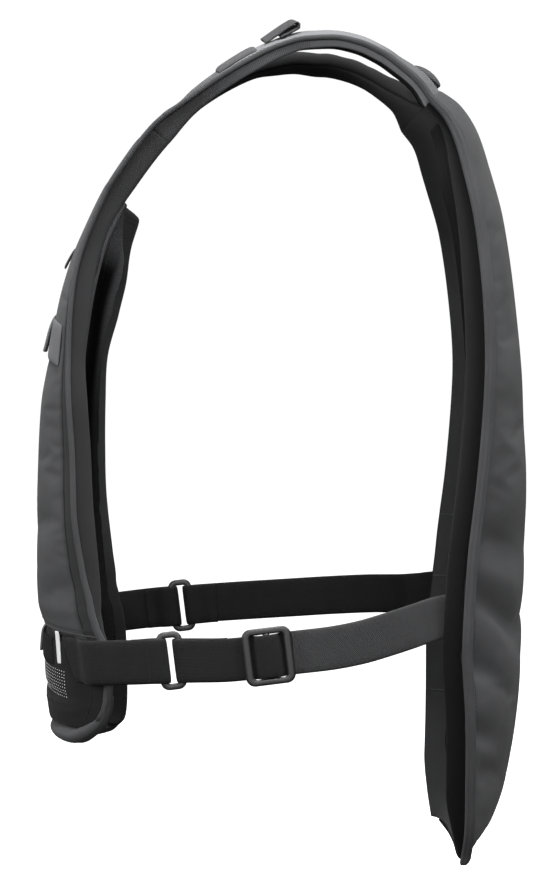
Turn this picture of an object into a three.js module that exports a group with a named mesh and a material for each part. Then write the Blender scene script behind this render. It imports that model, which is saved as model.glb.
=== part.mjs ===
// Airbag vest that hangs from the shoulders: two padded front panels, two
// padded shoulder straps and a padded back, closed over the breastbone and the
// waist and drawn in by a webbing strap on each side.
// Millimetres, +Z up. The wearer faces -X and the wearer's left is -Y. The
// origin is midway between the shoulders, at the undersides of the straps.

import * as THREE from 'three';

// Driving dimensions
const GAP = 0.4;                // clear space between sewn pieces
const LEFT = -1;
const RIGHT = 1;
const RIM_WIDTH = 6;            // cloth thickness of the turned-in side rim
const LINING_THICK = 3;
const PIPING_RADIUS = 2.8;
const BINDING_HALF = 2.2;       // half width of the neck binding, across the edge
const HEM_HALF_HEIGHT = 6.8;
const HEM_TAPER = 0.45;         // share of its height that a hem loses at the corner
const PATCH_THICK = 2.4;
const BAND_THICK = 1.6;
const TAB_WEBBING = { width: 36, thick: 2.2 };
const STRAP_WEBBING = { width: 35, thick: 1.8 };
const LOOP_WEBBING = { width: 26, thick: 1.6 };
const RING = { wide: 21, tall: 47, bar: 5.2, thick: 3.5, corner: 7 };
const SLIDER = { wide: 40, tall: 46, bar: 5.6, thick: 2.8, corner: 3.5 };
const BUCKLE_TILT = THREE.MathUtils.degToRad(7); // lean of the rings and the slider

// Turns rows of numbers into objects with the named columns.
function table(columns, rows) {
  return rows.map((row) => Object.fromEntries(columns.map((name, i) => [name, row[i]])));
}

// Sections of one half of the vest, from the front hem over the shoulder to the
// tail. x, z: the highest line of the outer face. lean: direction of depth, in
// degrees, 0 backwards, 90 down, 180 forwards. neck, crown, arm: distance of
// the inner edge, the highest line and the outer edge from the middle plane.
// neckDrop, drop: how deep the outer face lies at those two edges. band: width
// of the flat side band beyond the outer edge. thick: depth of the inner face.
// curve, rim: how sharply the outer face and the inner face turn at the edge.
// lift, flare, sag: the right half only, how far it rides out from the left
// one's line, how much wider its band is and how much lower its arm edge hangs.
const SAG_REACH = 120;          // distance from the middle plane where the sag is full
const SECTION = [
  'x', 'z', 'lean', 'neck', 'crown', 'arm', 'neckDrop', 'drop', 'band', 'thick',
  'curve', 'rim', 'lift', 'flare', 'sag',
];
const FRONT_ROWS = table(SECTION, [
  [-223, -551, 0, 8, 45, 114, 5, 36, 6, 24, 2.6, 7, 0, 8, 36],
  [-224, -542, 0, 7, 45, 122, 5, 46, 5, 26, 2.6, 8, 0, 7, 34],
  [-225, -527, 0, 7, 45, 127, 5, 53, 3, 28, 2.6, 8, 0, 5, 22],
  [-226, -502, 0, 7, 45, 129, 5, 55, 3, 29, 2.6, 8, 0, 3, 6],
  [-226, -477, 0, 7, 45, 130, 5, 50, 4, 29, 2.6, 8, 0, 4, 2],
  [-227, -467, 0, 7, 45, 130, 5, 46, 6, 29, 2.6, 9, 0, 4, 1],
  [-231, -452, 0, 7, 45, 130, 6, 46, 8, 30, 2.6, 9, 0, 3, 0],
  [-232, -425, 0, 7, 46, 130, 6, 41, 13, 30, 2.6, 9, 0, 1, 0],
  [-232, -380, 0, 7, 47, 130, 6, 34, 16, 30, 2.6, 9, 0, 0, 0],
  [-230.5, -330, 0, 7, 48, 130, 6, 31, 15, 29, 2.6, 9, 0, 1, 0],
  [-228, -290, 0, 7, 50, 130, 6, 26, 15, 28, 2.6, 9, 0, 4, 0],
  [-221, -250, 3, 7, 52, 128, 6, 18.5, 13.5, 26, 2.4, 9, 0, 8, 0],
  [-213, -206, 8, 10, 55, 126, 6, 12.5, 16.5, 24, 2.2, 8, 0, 14, 0],
  [-203, -172, 16, 18, 60, 124, 6, 8, 16, 22, 2, 6, 1, 18, 0],
  [-189, -140, 26, 32, 68, 122, 5, 5.5, 14.5, 18, 1.9, 4, 4, 17, 0],
  [-176, -114, 29, 42, 74, 121, 4, 4.5, 17.5, 18, 1.8, 3, 8, 14, 0],
  [-174, -110.8, 32, 44, 75, 121, 4, 4, 18, 17, 1.8, 2.5, 9, -14, 0],
  [-138, -62, 43, 60, 82, 120, 3, 4, 19, 16, 1.7, 1.8, 10, -7, 0],
]);
const SHOULDER_ROWS = table(SECTION, [
  [-138, -62, 43, 60, 82, 120, 3, 4, 19, 16, 1.7, 1.8, 10, -7, 0],
  [-112, -39.5, 48, 65, 84, 120, 3, 6, 12.5, 15, 1.6, 1.5, 11, -5, 0],
  [-82, -16.5, 57, 69, 86, 120, 3, 8, 10.5, 14, 1.6, 1.4, 10, -5, 0],
  [-54, 0.5, 66, 70, 87, 120, 3, 9, 10, 13, 1.6, 1.4, 7, -6, 0],
  [-35, 8.8, 73, 70, 87, 120, 3.5, 9, 9, 13, 1.6, 1.4, 4, -3, 0],
  [-13, 14.5, 83, 70, 87, 120, 4, 9, 8, 13, 1.6, 1.4, 2, 0, 0],
  [10, 15.5, 93, 70, 87, 120, 4, 9, 7.5, 13, 1.6, 1.4, 0, 2, 0],
  [32, 11.5, 104, 69, 86, 120, 4, 9, 7, 13, 1.6, 1.4, 0, 2, 0],
  [52, 3, 114, 66, 82, 119, 4, 9, 7, 13, 1.7, 1.6, 0, 1, 0],
  [70, -7, 121, 58, 74, 118, 3, 11, 6.5, 14, 1.9, 1.8, 0, 1, 0],
  [85, -15.5, 126, 43, 58, 118, 2, 14, 6.5, 15, 2.1, 2.4, 0, 1, 0],
  [94, -21.5, 128, 26, 38, 117, 1, 17, 7, 16, 2.3, 3, 0, 3, 0],
  [101, -26, 131, 0.2, 0.3, 117, 0, 20, 8, 17, 2.4, 4, 0, 4, 0],
]);
const BACK_ROWS = table(SECTION, [
  [101, -26, 131, 0, 0, 117, 0, 20, 8, 17, 2.4, 4, 0, 4, 0],
  [119, -39, 139, 0, 0, 117, 0, 24, 9, 20, 2.5, 6, 0, 5, 0],
  [134, -62, 152, 0, 0, 119, 0, 26, 12, 22, 2.7, 8, 0, 4, 0],
  [144, -92, 163, 0, 0, 122, 0, 27, 15, 24, 2.8, 9, 0, 0, 0],
  [156, -138, 170, 0, 0, 126, 0, 29, 18, 25, 3, 10, 0, -6, 0],
  [166, -207, 176, 0, 0, 130, 0, 32, 20, 26, 3, 10, 0, -11, 0],
  [172, -270, 179, 0, 0, 131, 0, 37, 20, 28, 3, 10, 0, -13, 0],
  [175, -350, 180, 0, 0, 130, 0, 46, 20, 31, 3, 10, 0, -13, 0],
  [173.5, -418, 180, 0, 0, 129, 0, 52, 20, 34, 3, 10, 0, -12, 0],
  [172, -480, 180, 0, 0, 127, 0, 54, 20, 36, 3, 10, 0, -8, 0],
  [168, -540, 180, 0, 0, 122, 0, 47, 20, 36, 3, 10, 0, -3, 0],
  [158, -605, 180, 0, 0, 113, 0, 36, 20, 31, 2.8, 9, 0, 0, 0],
  [147, -638, 180, 0, 0, 106, 0, 25, 14, 26, 2.6, 8, 0, 4, 0],
  [134, -656, 180, 0, 0, 96, 0, 13, 6, 18, 2.4, 6, 0, 7, 0],
]);

// Soft dents of the outer face, at a section z and a distance from the middle
// plane on the given side: depth, reach across and reach along the panel.
const DENT = ['side', 'z', 'from', 'depth', 'across', 'along'];
const BACK_DENTS = table(DENT, [
  [LEFT, -205, 92, 3, 34, 14],
  [LEFT, -262, 70, 2.5, 40, 16],
  [LEFT, -318, 100, 3.5, 26, 12],
  [RIGHT, -215, 84, 3, 36, 15],
  [RIGHT, -300, 96, 3, 28, 14],
  [LEFT, -345, 30, 2, 46, 13],
]);
const FRONT_DENTS = table(DENT, [
  [LEFT, -382, 92, 2.5, 24, 13],
  [LEFT, -440, 108, 2.5, 20, 12],
  [RIGHT, -396, 88, 2.5, 26, 14],
]);

// Spreads of the points across a section, as shares of its width.
const HALF_SPREAD = [0, 0.1, 0.26, 0.44, 0.62, 0.78, 0.9, 0.97];

// Materials: colour, roughness and metalness
const cloth = (colour, roughness) => new THREE.MeshStandardMaterial({ color: colour, roughness });
const shellCloth = () => cloth(0x2a2b2e, 0.85);
const liningMesh = () => cloth(0x141416, 0.95);
const trimCloth = () => cloth(0x3a3b3f, 0.7);
const webbing = () => cloth(0x17181a, 0.8);
const reflective = () => cloth(0xe8e9ea, 0.35);
const ringPlastic = () => cloth(0x3c3d40, 0.5);
const sliderMetal = () => new THREE.MeshStandardMaterial({
  color: 0xa7a9ac, roughness: 0.35, metalness: 1,
});

// A smooth value through four equally spaced ones, between the middle two.
function smooth(a, b, c, d, t) {
  const square = t * t;
  const cube = square * t;
  return 0.5 * (2 * b + (c - a) * t + (2 * a - 5 * b + 4 * c - d) * square
    + (3 * b - a - 3 * c + d) * cube);
}

// The section at place s of a table, where s counts rows from the first.
function sectionAt(rows, s) {
  const last = rows.length - 1;
  const k = Math.min(Math.floor(s), last - 1);
  const row = (i) => rows[Math.max(0, Math.min(last, i))];
  const mixed = {};
  for (const name of SECTION) {
    mixed[name] = smooth(row(k - 1)[name], row(k)[name], row(k + 1)[name], row(k + 2)[name], s - k);
  }
  return mixed;
}

// The section of one half. The right half settles as its own columns say.
function halfSection(rows, s, side) {
  const section = sectionAt(rows, s);
  if (side === RIGHT) {
    const lean = THREE.MathUtils.degToRad(section.lean);
    section.x -= Math.cos(lean) * section.lift;
    section.z += Math.sin(lean) * section.lift;
    section.band += section.flare;
  }
  return section;
}

// Depth of the outer face at distance w from the middle plane.
function outerDepth(section, w) {
  const { neck, crown, arm, neckDrop, drop, curve } = section;
  if (w <= crown) {
    const t = (crown - w) / Math.max(crown - neck, 1);
    return neckDrop * t * t;
  }
  return drop * Math.min(1, (w - crown) / (arm - crown)) ** curve;
}

// Depth of the inner face, which turns in to the edge of the side band.
function innerDepth(section, w) {
  const { crown, arm, drop, band, thick, rim } = section;
  const t = Math.max(0, (w - crown) / (arm - RIM_WIDTH - crown));
  return thick + (drop + band - thick) * Math.min(1, t) ** rim;
}

// The point of a section at distance w on one side and at a depth.
function place(section, side, w, depth) {
  const lean = THREE.MathUtils.degToRad(section.lean);
  const fall = side === RIGHT ? section.sag * (w / SAG_REACH) ** 2 : 0;
  return new THREE.Vector3(
    section.x + depth * Math.cos(lean),
    side * w,
    section.z - depth * Math.sin(lean) - fall,
  );
}

// How much the dents of one side lower the outer face there.
function dentDepth(dents, side, z, w) {
  let depth = 0;
  for (const dent of dents.filter((row) => row.side === side)) {
    const across = (w - dent.from) / dent.across;
    const along = (z - dent.z) / dent.along;
    depth += dent.depth * Math.exp(-across * across - along * along);
  }
  return depth;
}

// Outer and inner points of one half section, from its neck edge to its arm edge.
function halfWall(section, side, dents) {
  const { neck, arm, drop, band, z } = section;
  const outer = [];
  const inner = [];
  for (const share of HALF_SPREAD) {
    const w = neck + (arm - neck) * share;
    outer.push(place(section, side, w, outerDepth(section, w) + dentDepth(dents, side, z, w)));
    const inside = neck + (arm - RIM_WIDTH - neck) * share;
    inner.push(place(section, side, inside, innerDepth(section, inside)));
  }
  const root = innerDepth(section, arm - 1.5 * RIM_WIDTH);
  outer.push(place(section, side, arm, drop));
  inner.push(place(section, side, arm - RIM_WIDTH, THREE.MathUtils.lerp(root, drop + band, 0.6)));
  outer.push(place(section, side, arm - 1, drop + band));
  inner.push(place(section, side, arm - RIM_WIDTH + 1, drop + band));
  return { outer, inner };
}

// Places in a table from one s to another: both ends, and the rows between.
function stations(from, to) {
  const places = [from];
  for (let k = Math.floor(from) + 1; k < to; k++) {
    places.push(k);
  }
  return [...places, to];
}

// A closed body from a list of triangles, turned so that its faces point out.
function body(points, triangles) {
  let volume = 0;
  for (const [a, b, c] of triangles) {
    volume += points[a].dot(new THREE.Vector3().crossVectors(points[b], points[c]));
  }
  const order = volume < 0 ? triangles.map(([a, b, c]) => [a, c, b]) : triangles;
  const geometry = new THREE.BufferGeometry().setFromPoints(points);
  geometry.setIndex(order.flat());
  geometry.computeVertexNormals();
  return geometry;
}

// A wall between an outer and an inner grid of points, closed round its edges.
function wall(outer, inner) {
  const rows = outer.length;
  const columns = outer[0].length;
  const points = [...outer.flat(), ...inner.flat()];
  const triangles = [];
  const front = (i, j) => i * columns + j;
  const back = (i, j) => rows * columns + front(i, j);
  const quad = (a, b, c, d) => triangles.push([a, b, c], [a, c, d]);
  for (let i = 0; i < rows - 1; i++) {
    for (let j = 0; j < columns - 1; j++) {
      quad(front(i, j), front(i + 1, j), front(i + 1, j + 1), front(i, j + 1));
      quad(back(i, j), back(i, j + 1), back(i + 1, j + 1), back(i + 1, j));
    }
    quad(front(i, 0), back(i, 0), back(i + 1, 0), front(i + 1, 0));
    const end = columns - 1;
    quad(front(i, end), front(i + 1, end), back(i + 1, end), back(i, end));
  }
  for (let j = 0; j < columns - 1; j++) {
    quad(front(0, j), front(0, j + 1), back(0, j + 1), back(0, j));
    const end = rows - 1;
    quad(front(end, j), back(end, j), back(end, j + 1), front(end, j + 1));
  }
  return body(points, triangles);
}

// A body through closed rings of equal point counts, with flat ends.
function loft(rings) {
  const sides = rings[0].length;
  const points = rings.flat();
  const triangles = [];
  for (let i = 0; i < rings.length - 1; i++) {
    for (let j = 0; j < sides; j++) {
      const a = i * sides + j;
      const b = i * sides + (j + 1) % sides;
      triangles.push([a, b, b + sides], [a, b + sides, a + sides]);
    }
  }
  const last = (rings.length - 1) * sides;
  for (let j = 1; j < sides - 1; j++) {
    triangles.push([0, j + 1, j], [last, last + j, last + j + 1]);
  }
  return body(points, triangles);
}

// An oval ring round a centre, on two axes of their real half lengths.
function oval(centre, axisA, axisB, sides) {
  return Array.from({ length: sides }, (_, k) => {
    const angle = 2 * Math.PI * (k + 0.5) / sides;
    return centre.clone().addScaledVector(axisA, Math.cos(angle)).addScaledVector(axisB, Math.sin(angle));
  });
}

// A flat ribbon along a path, with its width across the given direction.
function ribbon(path, { width, thick }, widthAxis) {
  const rings = path.map((point, i) => {
    const ahead = path[Math.min(i + 1, path.length - 1)];
    const behind = path[Math.max(i - 1, 0)];
    const along = ahead.clone().sub(behind).normalize();
    const across = widthAxis.clone().addScaledVector(along, -widthAxis.dot(along)).normalize();
    const up = new THREE.Vector3().crossVectors(along, across);
    const corner = (a, b) => point.clone()
      .addScaledVector(across, a * width / 2).addScaledVector(up, b * thick / 2);
    return [corner(-1, -1), corner(1, -1), corner(1, 1), corner(-1, 1)];
  });
  return loft(rings);
}

const vest = new THREE.Group();

function add(name, geometry, material) {
  const mesh = new THREE.Mesh(geometry, material);
  mesh.name = name;
  vest.add(mesh);
  return mesh;
}

const sideName = (side) => (side === LEFT ? 'left' : 'right');

// Padded pieces. A half piece is one wall from its neck edge to its arm edge.
const SEAM = 0.006;             // share of a row left open at a shoulder seam
const frontEnd = FRONT_ROWS.length - 1;
const shoulderEnd = SHOULDER_ROWS.length - 1;
const backEnd = BACK_ROWS.length - 1;

function halfPiece(rows, places, side, dents) {
  const walls = places.map((s) => halfWall(halfSection(rows, s, side), side, dents));
  return wall(walls.map((row) => row.outer), walls.map((row) => row.inner));
}

function backPiece() {
  const rows = stations(2 * SEAM, backEnd).map((s) => {
    const left = halfWall(halfSection(BACK_ROWS, s, LEFT), LEFT, BACK_DENTS);
    const right = halfWall(halfSection(BACK_ROWS, s, RIGHT), RIGHT, BACK_DENTS);
    const join = (name) => [...left[name].slice(1).reverse(), ...right[name]];
    return { outer: join('outer'), inner: join('inner') };
  });
  return wall(rows.map((row) => row.outer), rows.map((row) => row.inner));
}

add('back_panel', backPiece(), shellCloth());
for (const side of [LEFT, RIGHT]) {
  const front = halfPiece(FRONT_ROWS, stations(0, frontEnd - SEAM), side, FRONT_DENTS);
  add(`front_panel_${sideName(side)}`, front, shellCloth());
  const shoulderPlaces = stations(SEAM, shoulderEnd);
  const shoulder = halfPiece(SHOULDER_ROWS, shoulderPlaces, side, []);
  add(`shoulder_${sideName(side)}`, shoulder, shellCloth());
}

// Linings lie on the inner faces, clear of the rims.
const LINING_SPREAD = HALF_SPREAD.slice(0, -1);

function liningRow(section, side, spread) {
  const { neck, arm } = section;
  const across = (depth) => spread.map((share) => {
    const w = neck + (arm - RIM_WIDTH - neck) * share;
    return place(section, side, w, innerDepth(section, w) + depth);
  });
  return { outer: across(GAP), inner: across(GAP + LINING_THICK) };
}

function chestLining(side) {
  const rows = stations(2, frontEnd - 2).map(
    (s) => liningRow(halfSection(FRONT_ROWS, s, side), side, LINING_SPREAD.slice(1)),
  );
  return wall(rows.map((row) => row.outer), rows.map((row) => row.inner));
}

function backLining() {
  const rows = stations(1, backEnd - 1).map((s) => {
    const left = liningRow(halfSection(BACK_ROWS, s, LEFT), LEFT, LINING_SPREAD);
    const right = liningRow(halfSection(BACK_ROWS, s, RIGHT), RIGHT, LINING_SPREAD);
    const join = (name) => [...left[name].slice(1).reverse(), ...right[name]];
    return { outer: join('outer'), inner: join('inner') };
  });
  return wall(rows.map((row) => row.outer), rows.map((row) => row.inner));
}

add('back_lining', backLining(), liningMesh());
for (const side of [LEFT, RIGHT]) {
  add(`chest_lining_${sideName(side)}`, chestLining(side), liningMesh());
}

// Piping stands on the ridge between the outer face and the side band.
const PIPING_START = 1;
const PIPING_OUT = 0.9;         // share of its offset that points away from the middle
const PIPING_UP = 0.43;         // share of its offset that points out of the face

function pipingRing(section, side) {
  const reach = PIPING_RADIUS + GAP;
  const centre = place(section, side, section.arm + reach * PIPING_OUT, section.drop - reach * PIPING_UP);
  const outward = place(section, side, 1, 0).sub(place(section, side, 0, 0));
  const deep = place(section, side, 0, 1).sub(place(section, side, 0, 0));
  return oval(centre, outward.multiplyScalar(PIPING_RADIUS), deep.multiplyScalar(PIPING_RADIUS), 6);
}

function edgePiping(side) {
  const runs = [
    [FRONT_ROWS, stations(PIPING_START, frontEnd - 1)],
    [SHOULDER_ROWS, stations(0, shoulderEnd - 0.5)],
    [BACK_ROWS, stations(0, backEnd)],
  ];
  return loft(runs.flatMap(([rows, places]) => places.map(
    (s) => pipingRing(halfSection(rows, s, side), side),
  )));
}

// The neck binding rolls over the inner edge, from the front hem to the back centre.
function neckBinding(side) {
  const sections = [
    ...stations(0, frontEnd - 1).map((s) => halfSection(FRONT_ROWS, s, side)),
    ...stations(0, shoulderEnd).map((s) => halfSection(SHOULDER_ROWS, s, side)),
  ];
  const middle = (section) => (section.neckDrop + section.thick) / 2;
  const path = sections.map((section) => place(section, side, section.neck, middle(section)));
  const rings = sections.map((section, i) => {
    const along = path[Math.min(i + 1, path.length - 1)].clone().sub(path[Math.max(i - 1, 0)]);
    const deep = place(section, side, 0, 1).sub(place(section, side, 0, 0));
    const out = new THREE.Vector3().crossVectors(deep, along).normalize().multiplyScalar(side);
    if (i === path.length - 1) {
      out.set(-deep.z, 0, deep.x);
    }
    const centre = path[i].clone().addScaledVector(out, BINDING_HALF + 2 * GAP);
    const half = (section.thick - section.neckDrop) / 2;
    return oval(centre, out.multiplyScalar(BINDING_HALF), deep.multiplyScalar(half), 8);
  });
  return loft(rings);
}

// Rolled hems close the lower edges, tapered to the corners.
const HEM_SPREAD = [0, 0.12, 0.3, 0.5, 0.7, 0.86, 0.97];
const down = new THREE.Vector3(0, 0, -1);

function hemRing(section, side, share) {
  const w = section.neck + (section.arm - section.neck) * share;
  const low = innerDepth(section, Math.min(w, section.arm - RIM_WIDTH));
  const high = outerDepth(section, w);
  const height = HEM_HALF_HEIGHT * (1 - HEM_TAPER * share ** 4);
  const centre = place(section, side, w, (low + high) / 2).addScaledVector(down, height + GAP);
  const deep = place(section, side, 0, (low - high) / 2 + 0.5).sub(place(section, side, 0, 0));
  return oval(centre, deep, down.clone().multiplyScalar(height), 10);
}

function frontHem(side) {
  const section = halfSection(FRONT_ROWS, 0, side);
  return loft(HEM_SPREAD.map((share) => hemRing(section, side, share)));
}

function backHem() {
  const section = sectionAt(BACK_ROWS, backEnd);
  const left = HEM_SPREAD.slice(1).reverse().map((share) => hemRing(section, LEFT, share));
  const right = HEM_SPREAD.map((share) => hemRing(section, RIGHT, share));
  return loft([...left, ...right]);
}

add('back_hem', backHem(), trimCloth());
for (const side of [LEFT, RIGHT]) {
  add(`edge_piping_${sideName(side)}`, edgePiping(side), trimCloth());
  add(`neck_binding_${sideName(side)}`, neckBinding(side), trimCloth());
  add(`front_hem_${sideName(side)}`, frontHem(side), trimCloth());
}

// Patches on the outer face: a plate between two places and two distances.
function patch(rows, places, distances, side, thick) {
  const skin = (proud) => places.map((s) => {
    const section = halfSection(rows, s, side);
    return distances.map((w) => place(section, side, w, outerDepth(section, w) - proud));
  });
  return wall(skin(GAP + thick), skin(GAP));
}

// The shoulder patch and its pull loop, a ribbon folded over at its free end.
const PATCH_PLACES = stations(1.9, 3.1);
const PATCH_DISTANCES = [75, 84, 93, 102, 112];
const LOOP_MIDDLE = 94;         // distance of the loop from the middle plane
const LOOP_ROUTE = table(['x', 'z'], [
  [-45, 8], [-35, 14], [-26, 19.3], [-22, 21], [-19.2, 20], [-18.6, 17.4], [-21, 15.4], [-33, 11.6],
]);

function pullLoop(side) {
  const section = halfSection(SHOULDER_ROWS, 4, side);
  const lift = side === RIGHT ? section.lift : 0;
  const path = LOOP_ROUTE.map(({ x, z }) => new THREE.Vector3(x - 0.3 * lift, side * LOOP_MIDDLE, z + lift));
  return ribbon(path, LOOP_WEBBING, new THREE.Vector3(0, 1, 0));
}

for (const side of [LEFT, RIGHT]) {
  const plate = patch(SHOULDER_ROWS, PATCH_PLACES, PATCH_DISTANCES, side, PATCH_THICK);
  add(`shoulder_patch_${sideName(side)}`, plate, shellCloth());
  add(`pull_loop_${sideName(side)}`, pullLoop(side), webbing());
}

// The hanger loop arches over the back neckline.
const HANGER = { halfSpan: 30, x: 91, z: -16, clear: 2.6, rise: 6, width: 28, thick: 1.8, steps: 8 };

function hangerLoop() {
  const slope = new THREE.Vector3(0.8, 0, -0.6);
  const out = new THREE.Vector3(0.6, 0, 0.8);
  const path = Array.from({ length: HANGER.steps + 1 }, (_, i) => {
    const angle = Math.PI * i / HANGER.steps;
    const base = new THREE.Vector3(HANGER.x, -HANGER.halfSpan * Math.cos(angle), HANGER.z);
    return base.addScaledVector(out, HANGER.clear + HANGER.rise * Math.sin(angle));
  });
  return ribbon(path, HANGER, slope);
}

add('hanger_loop', hangerLoop(), webbing());

// Closing bands cross the front opening over both panels.
const BAND = ['name', 'z', 'fall', 'reach', 'height'];
const BANDS = table(BAND, [
  ['chest_band', -230, 10, 116, 36],
  ['waist_band', -488, 5, 90, 32],
]);
const BAND_SPREAD = [-1, -0.85, -0.7, -0.55, -0.4, -0.25, -0.1, 0.1, 0.25, 0.4, 0.55, 0.7, 0.85, 1];

// The front section at a height, where the sections stand level.
function frontAtHeight(z, side) {
  let low = 0;
  let high = frontEnd;
  for (let i = 0; i < 40; i++) {
    const s = (low + high) / 2;
    if (sectionAt(FRONT_ROWS, s).z < z) {
      low = s;
    } else {
      high = s;
    }
  }
  return halfSection(FRONT_ROWS, low, side);
}

// The point of the front's outer face at a height, raised by a given amount.
function frontSkin(side, w, z, proud) {
  const section = frontAtHeight(z, side);
  return place(section, side, w, outerDepth(section, Math.max(w, section.neck)) - proud);
}

const BAND_CLEARANCE = 1;       // room between a band and the panels below it

function closingBand({ z, fall, reach, height }) {
  const skin = (proud) => BAND_SPREAD.map((share) => {
    const side = share < 0 ? LEFT : RIGHT;
    const middle = z - fall * share * share;
    const w = Math.abs(share) * reach;
    return [-1, 0, 1].map((end) => frontSkin(side, w, middle + end * height / 2, proud));
  });
  return wall(skin(BAND_CLEARANCE + BAND_THICK), skin(BAND_CLEARANCE));
}

// Flaps hang on the bands and stand out a little at their lower ends.
const FLAP = ['name', 'topX', 'topZ', 'lowX', 'lowZ', 'wide', 'thick'];
const FLAPS = table(FLAP, [
  ['chest_tab', -216, -213, -229.5, -246, 24, 3],
  ['waist_flap', -228, -477, -232.5, -499, 22, 3],
]);

function flap({ topX, topZ, lowX, lowZ, wide, thick }) {
  const path = [
    new THREE.Vector3(topX, 0, topZ),
    new THREE.Vector3((topX + lowX) / 2 - 1.5, 0, (topZ + lowZ) / 2),
    new THREE.Vector3(lowX, 0, lowZ),
  ];
  return ribbon(path, { width: wide, thick }, new THREE.Vector3(0, 1, 0));
}

for (const band of BANDS) {
  add(band.name, closingBand(band), trimCloth());
}
for (const row of FLAPS) {
  add(row.name, flap(row), trimCloth());
}

// White bars beside the sewn ends of the waist tabs, and the tag on the neck edge.
const BAR = { from: 92.5, to: 98, top: -472, low: -500, thick: 1.2 };
const TAG = { from: 40, to: 47, lowPlace: 12.8, topPlace: 13.45, thick: 1.6 };

function reflectiveBar(side) {
  const skin = (proud) => [BAR.low, (BAR.low + BAR.top) / 2, BAR.top].map(
    (z) => [BAR.from, BAR.to].map((w) => frontSkin(side, w, z, proud)),
  );
  return wall(skin(GAP + BAR.thick), skin(GAP));
}

for (const side of [LEFT, RIGHT]) {
  add(`reflective_bar_${sideName(side)}`, reflectiveBar(side), reflective());
}
const tagPlaces = stations(TAG.lowPlace, TAG.topPlace);
add('edge_tag', patch(FRONT_ROWS, tagPlaces, [TAG.from, TAG.to], LEFT, TAG.thick), webbing());

// Side straps. x, w: plan of the route. left, right: its height on each side.
const ROUTE = ['x', 'w', 'left', 'right'];
const TAB_ROUTE = table(ROUTE, [
  [-206.5, 106, -494, -488],
  [-200.5, 113, -494, -487.7],
  [-194.5, 120, -493.8, -487.2],
  [-190.5, 135.5, -493.3, -486],
  [-185, 141.5, -493, -484.5],
  [-171, 145, -492.5, -482.5],
  [-150, 146, -492, -480],
  [-137, 146.2, -491.6, -478.6],
]);
const RING_PLACE = table(['side', 'x', 'w'], [
  [LEFT, -120.5, 142],
  [RIGHT, -115.5, 142],
]);
const STRAP_ROUTE = table(ROUTE, [
  [-100, 146.4, -491, -475.5],
  [-80, 147.2, -490.6, -474.5],
  [-61, 146.8, -489.2, -473.5],
  [-57.3, 146.8, -488.7, -473.2],
  [-46.3, 153.4, -487.4, -472.4],
  [-39.7, 153.4, -486.5, -472],
  [-28.7, 146.8, -485.3, -471.2],
  [-25, 146.8, -484.8, -471],
  [6, 147, -481.2, -469],
  [30, 144.5, -477, -467.5],
  [55, 139, -470.5, -466],
  [75, 131.5, -465, -465.2],
  [90, 123, -461, -464],
  [100, 117, -459, -463.3],
  [109, 112.3, -458, -462.5],
  [117, 107.8, -457.6, -462],
]);
const TAB_RETURN = 24;          // length of webbing folded back behind itself at a ring
const STRAP_RETURN = 38;        // the same on the strap that has the slider
const SLIDER_PLACE = { x: -43, w: 150, z: -487 };
const CLIMB = { from: -90, to: -10 };   // stretch of the route that climbs over the slider
const SLOT_PLAY = 1.2;          // room above and below the webbing in a slot
const SLOT_CORNER = 1.2;
const FOLD_STEPS = 6;

const buckleBars = new THREE.Vector3(-Math.sin(BUCKLE_TILT), 0, Math.cos(BUCKLE_TILT));
const ringOn = (side) => RING_PLACE.find((row) => row.side === side);
const heightOf = (row, side) => (side === LEFT ? row.left : row.right);
const routePoint = (row, side) => new THREE.Vector3(row.x, side * row.w, heightOf(row, side));

// Height of a side's webbing at a place along X.
function heightAt(x, side) {
  const route = [...TAB_ROUTE, ...STRAP_ROUTE];
  const k = route.findIndex((row) => row.x > x);
  const share = (x - route[k - 1].x) / (route[k].x - route[k - 1].x);
  return THREE.MathUtils.lerp(heightOf(route[k - 1], side), heightOf(route[k], side), share);
}

// The fold of a ribbon round one bar of the ring and back behind itself. toward
// is the direction of the ring's slot along X, seen from that bar.
function foldRound(side, toward, webbingSize, back) {
  const ring = ringOn(side);
  const barX = ring.x - toward * (RING.wide - RING.bar) / 2;
  const radius = Math.SQRT2 * RING.thick / 2 + 1.5 * GAP + webbingSize.thick / 2;
  const stretch = (RING.bar - RING.thick) / 2;
  const point = (x, w) => new THREE.Vector3(x, side * w, heightAt(x, side));
  const path = [];
  for (let i = 0; i <= FOLD_STEPS; i++) {
    const angle = Math.PI * i / FOLD_STEPS;
    const x = barX + toward * (stretch + radius * Math.sin(angle));
    path.push(point(x, ring.w + radius * Math.cos(angle)));
  }
  const close = ring.w + radius - webbingSize.thick - 2 * GAP;
  path.push(point(barX - toward * (RING.bar / 2 + 4), ring.w - radius + 0.6));
  path.push(point(barX - toward * (back - 6), close - 0.4));
  path.push(point(barX - toward * back, close));
  return path;
}

function waistTab(side) {
  const path = [
    ...TAB_ROUTE.map((row) => routePoint(row, side)),
    ...foldRound(side, 1, TAB_WEBBING, TAB_RETURN),
  ];
  return ribbon(path, TAB_WEBBING, buckleBars);
}

function sideStrap(side) {
  const withSlider = side === LEFT;
  const plain = (row) => withSlider || row.x < CLIMB.from || row.x > CLIMB.to;
  const path = [
    ...foldRound(side, -1, STRAP_WEBBING, withSlider ? STRAP_RETURN : TAB_RETURN).reverse(),
    ...STRAP_ROUTE.filter(plain).map((row) => routePoint(row, side)),
  ];
  return ribbon(path, STRAP_WEBBING, buckleBars);
}

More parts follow.
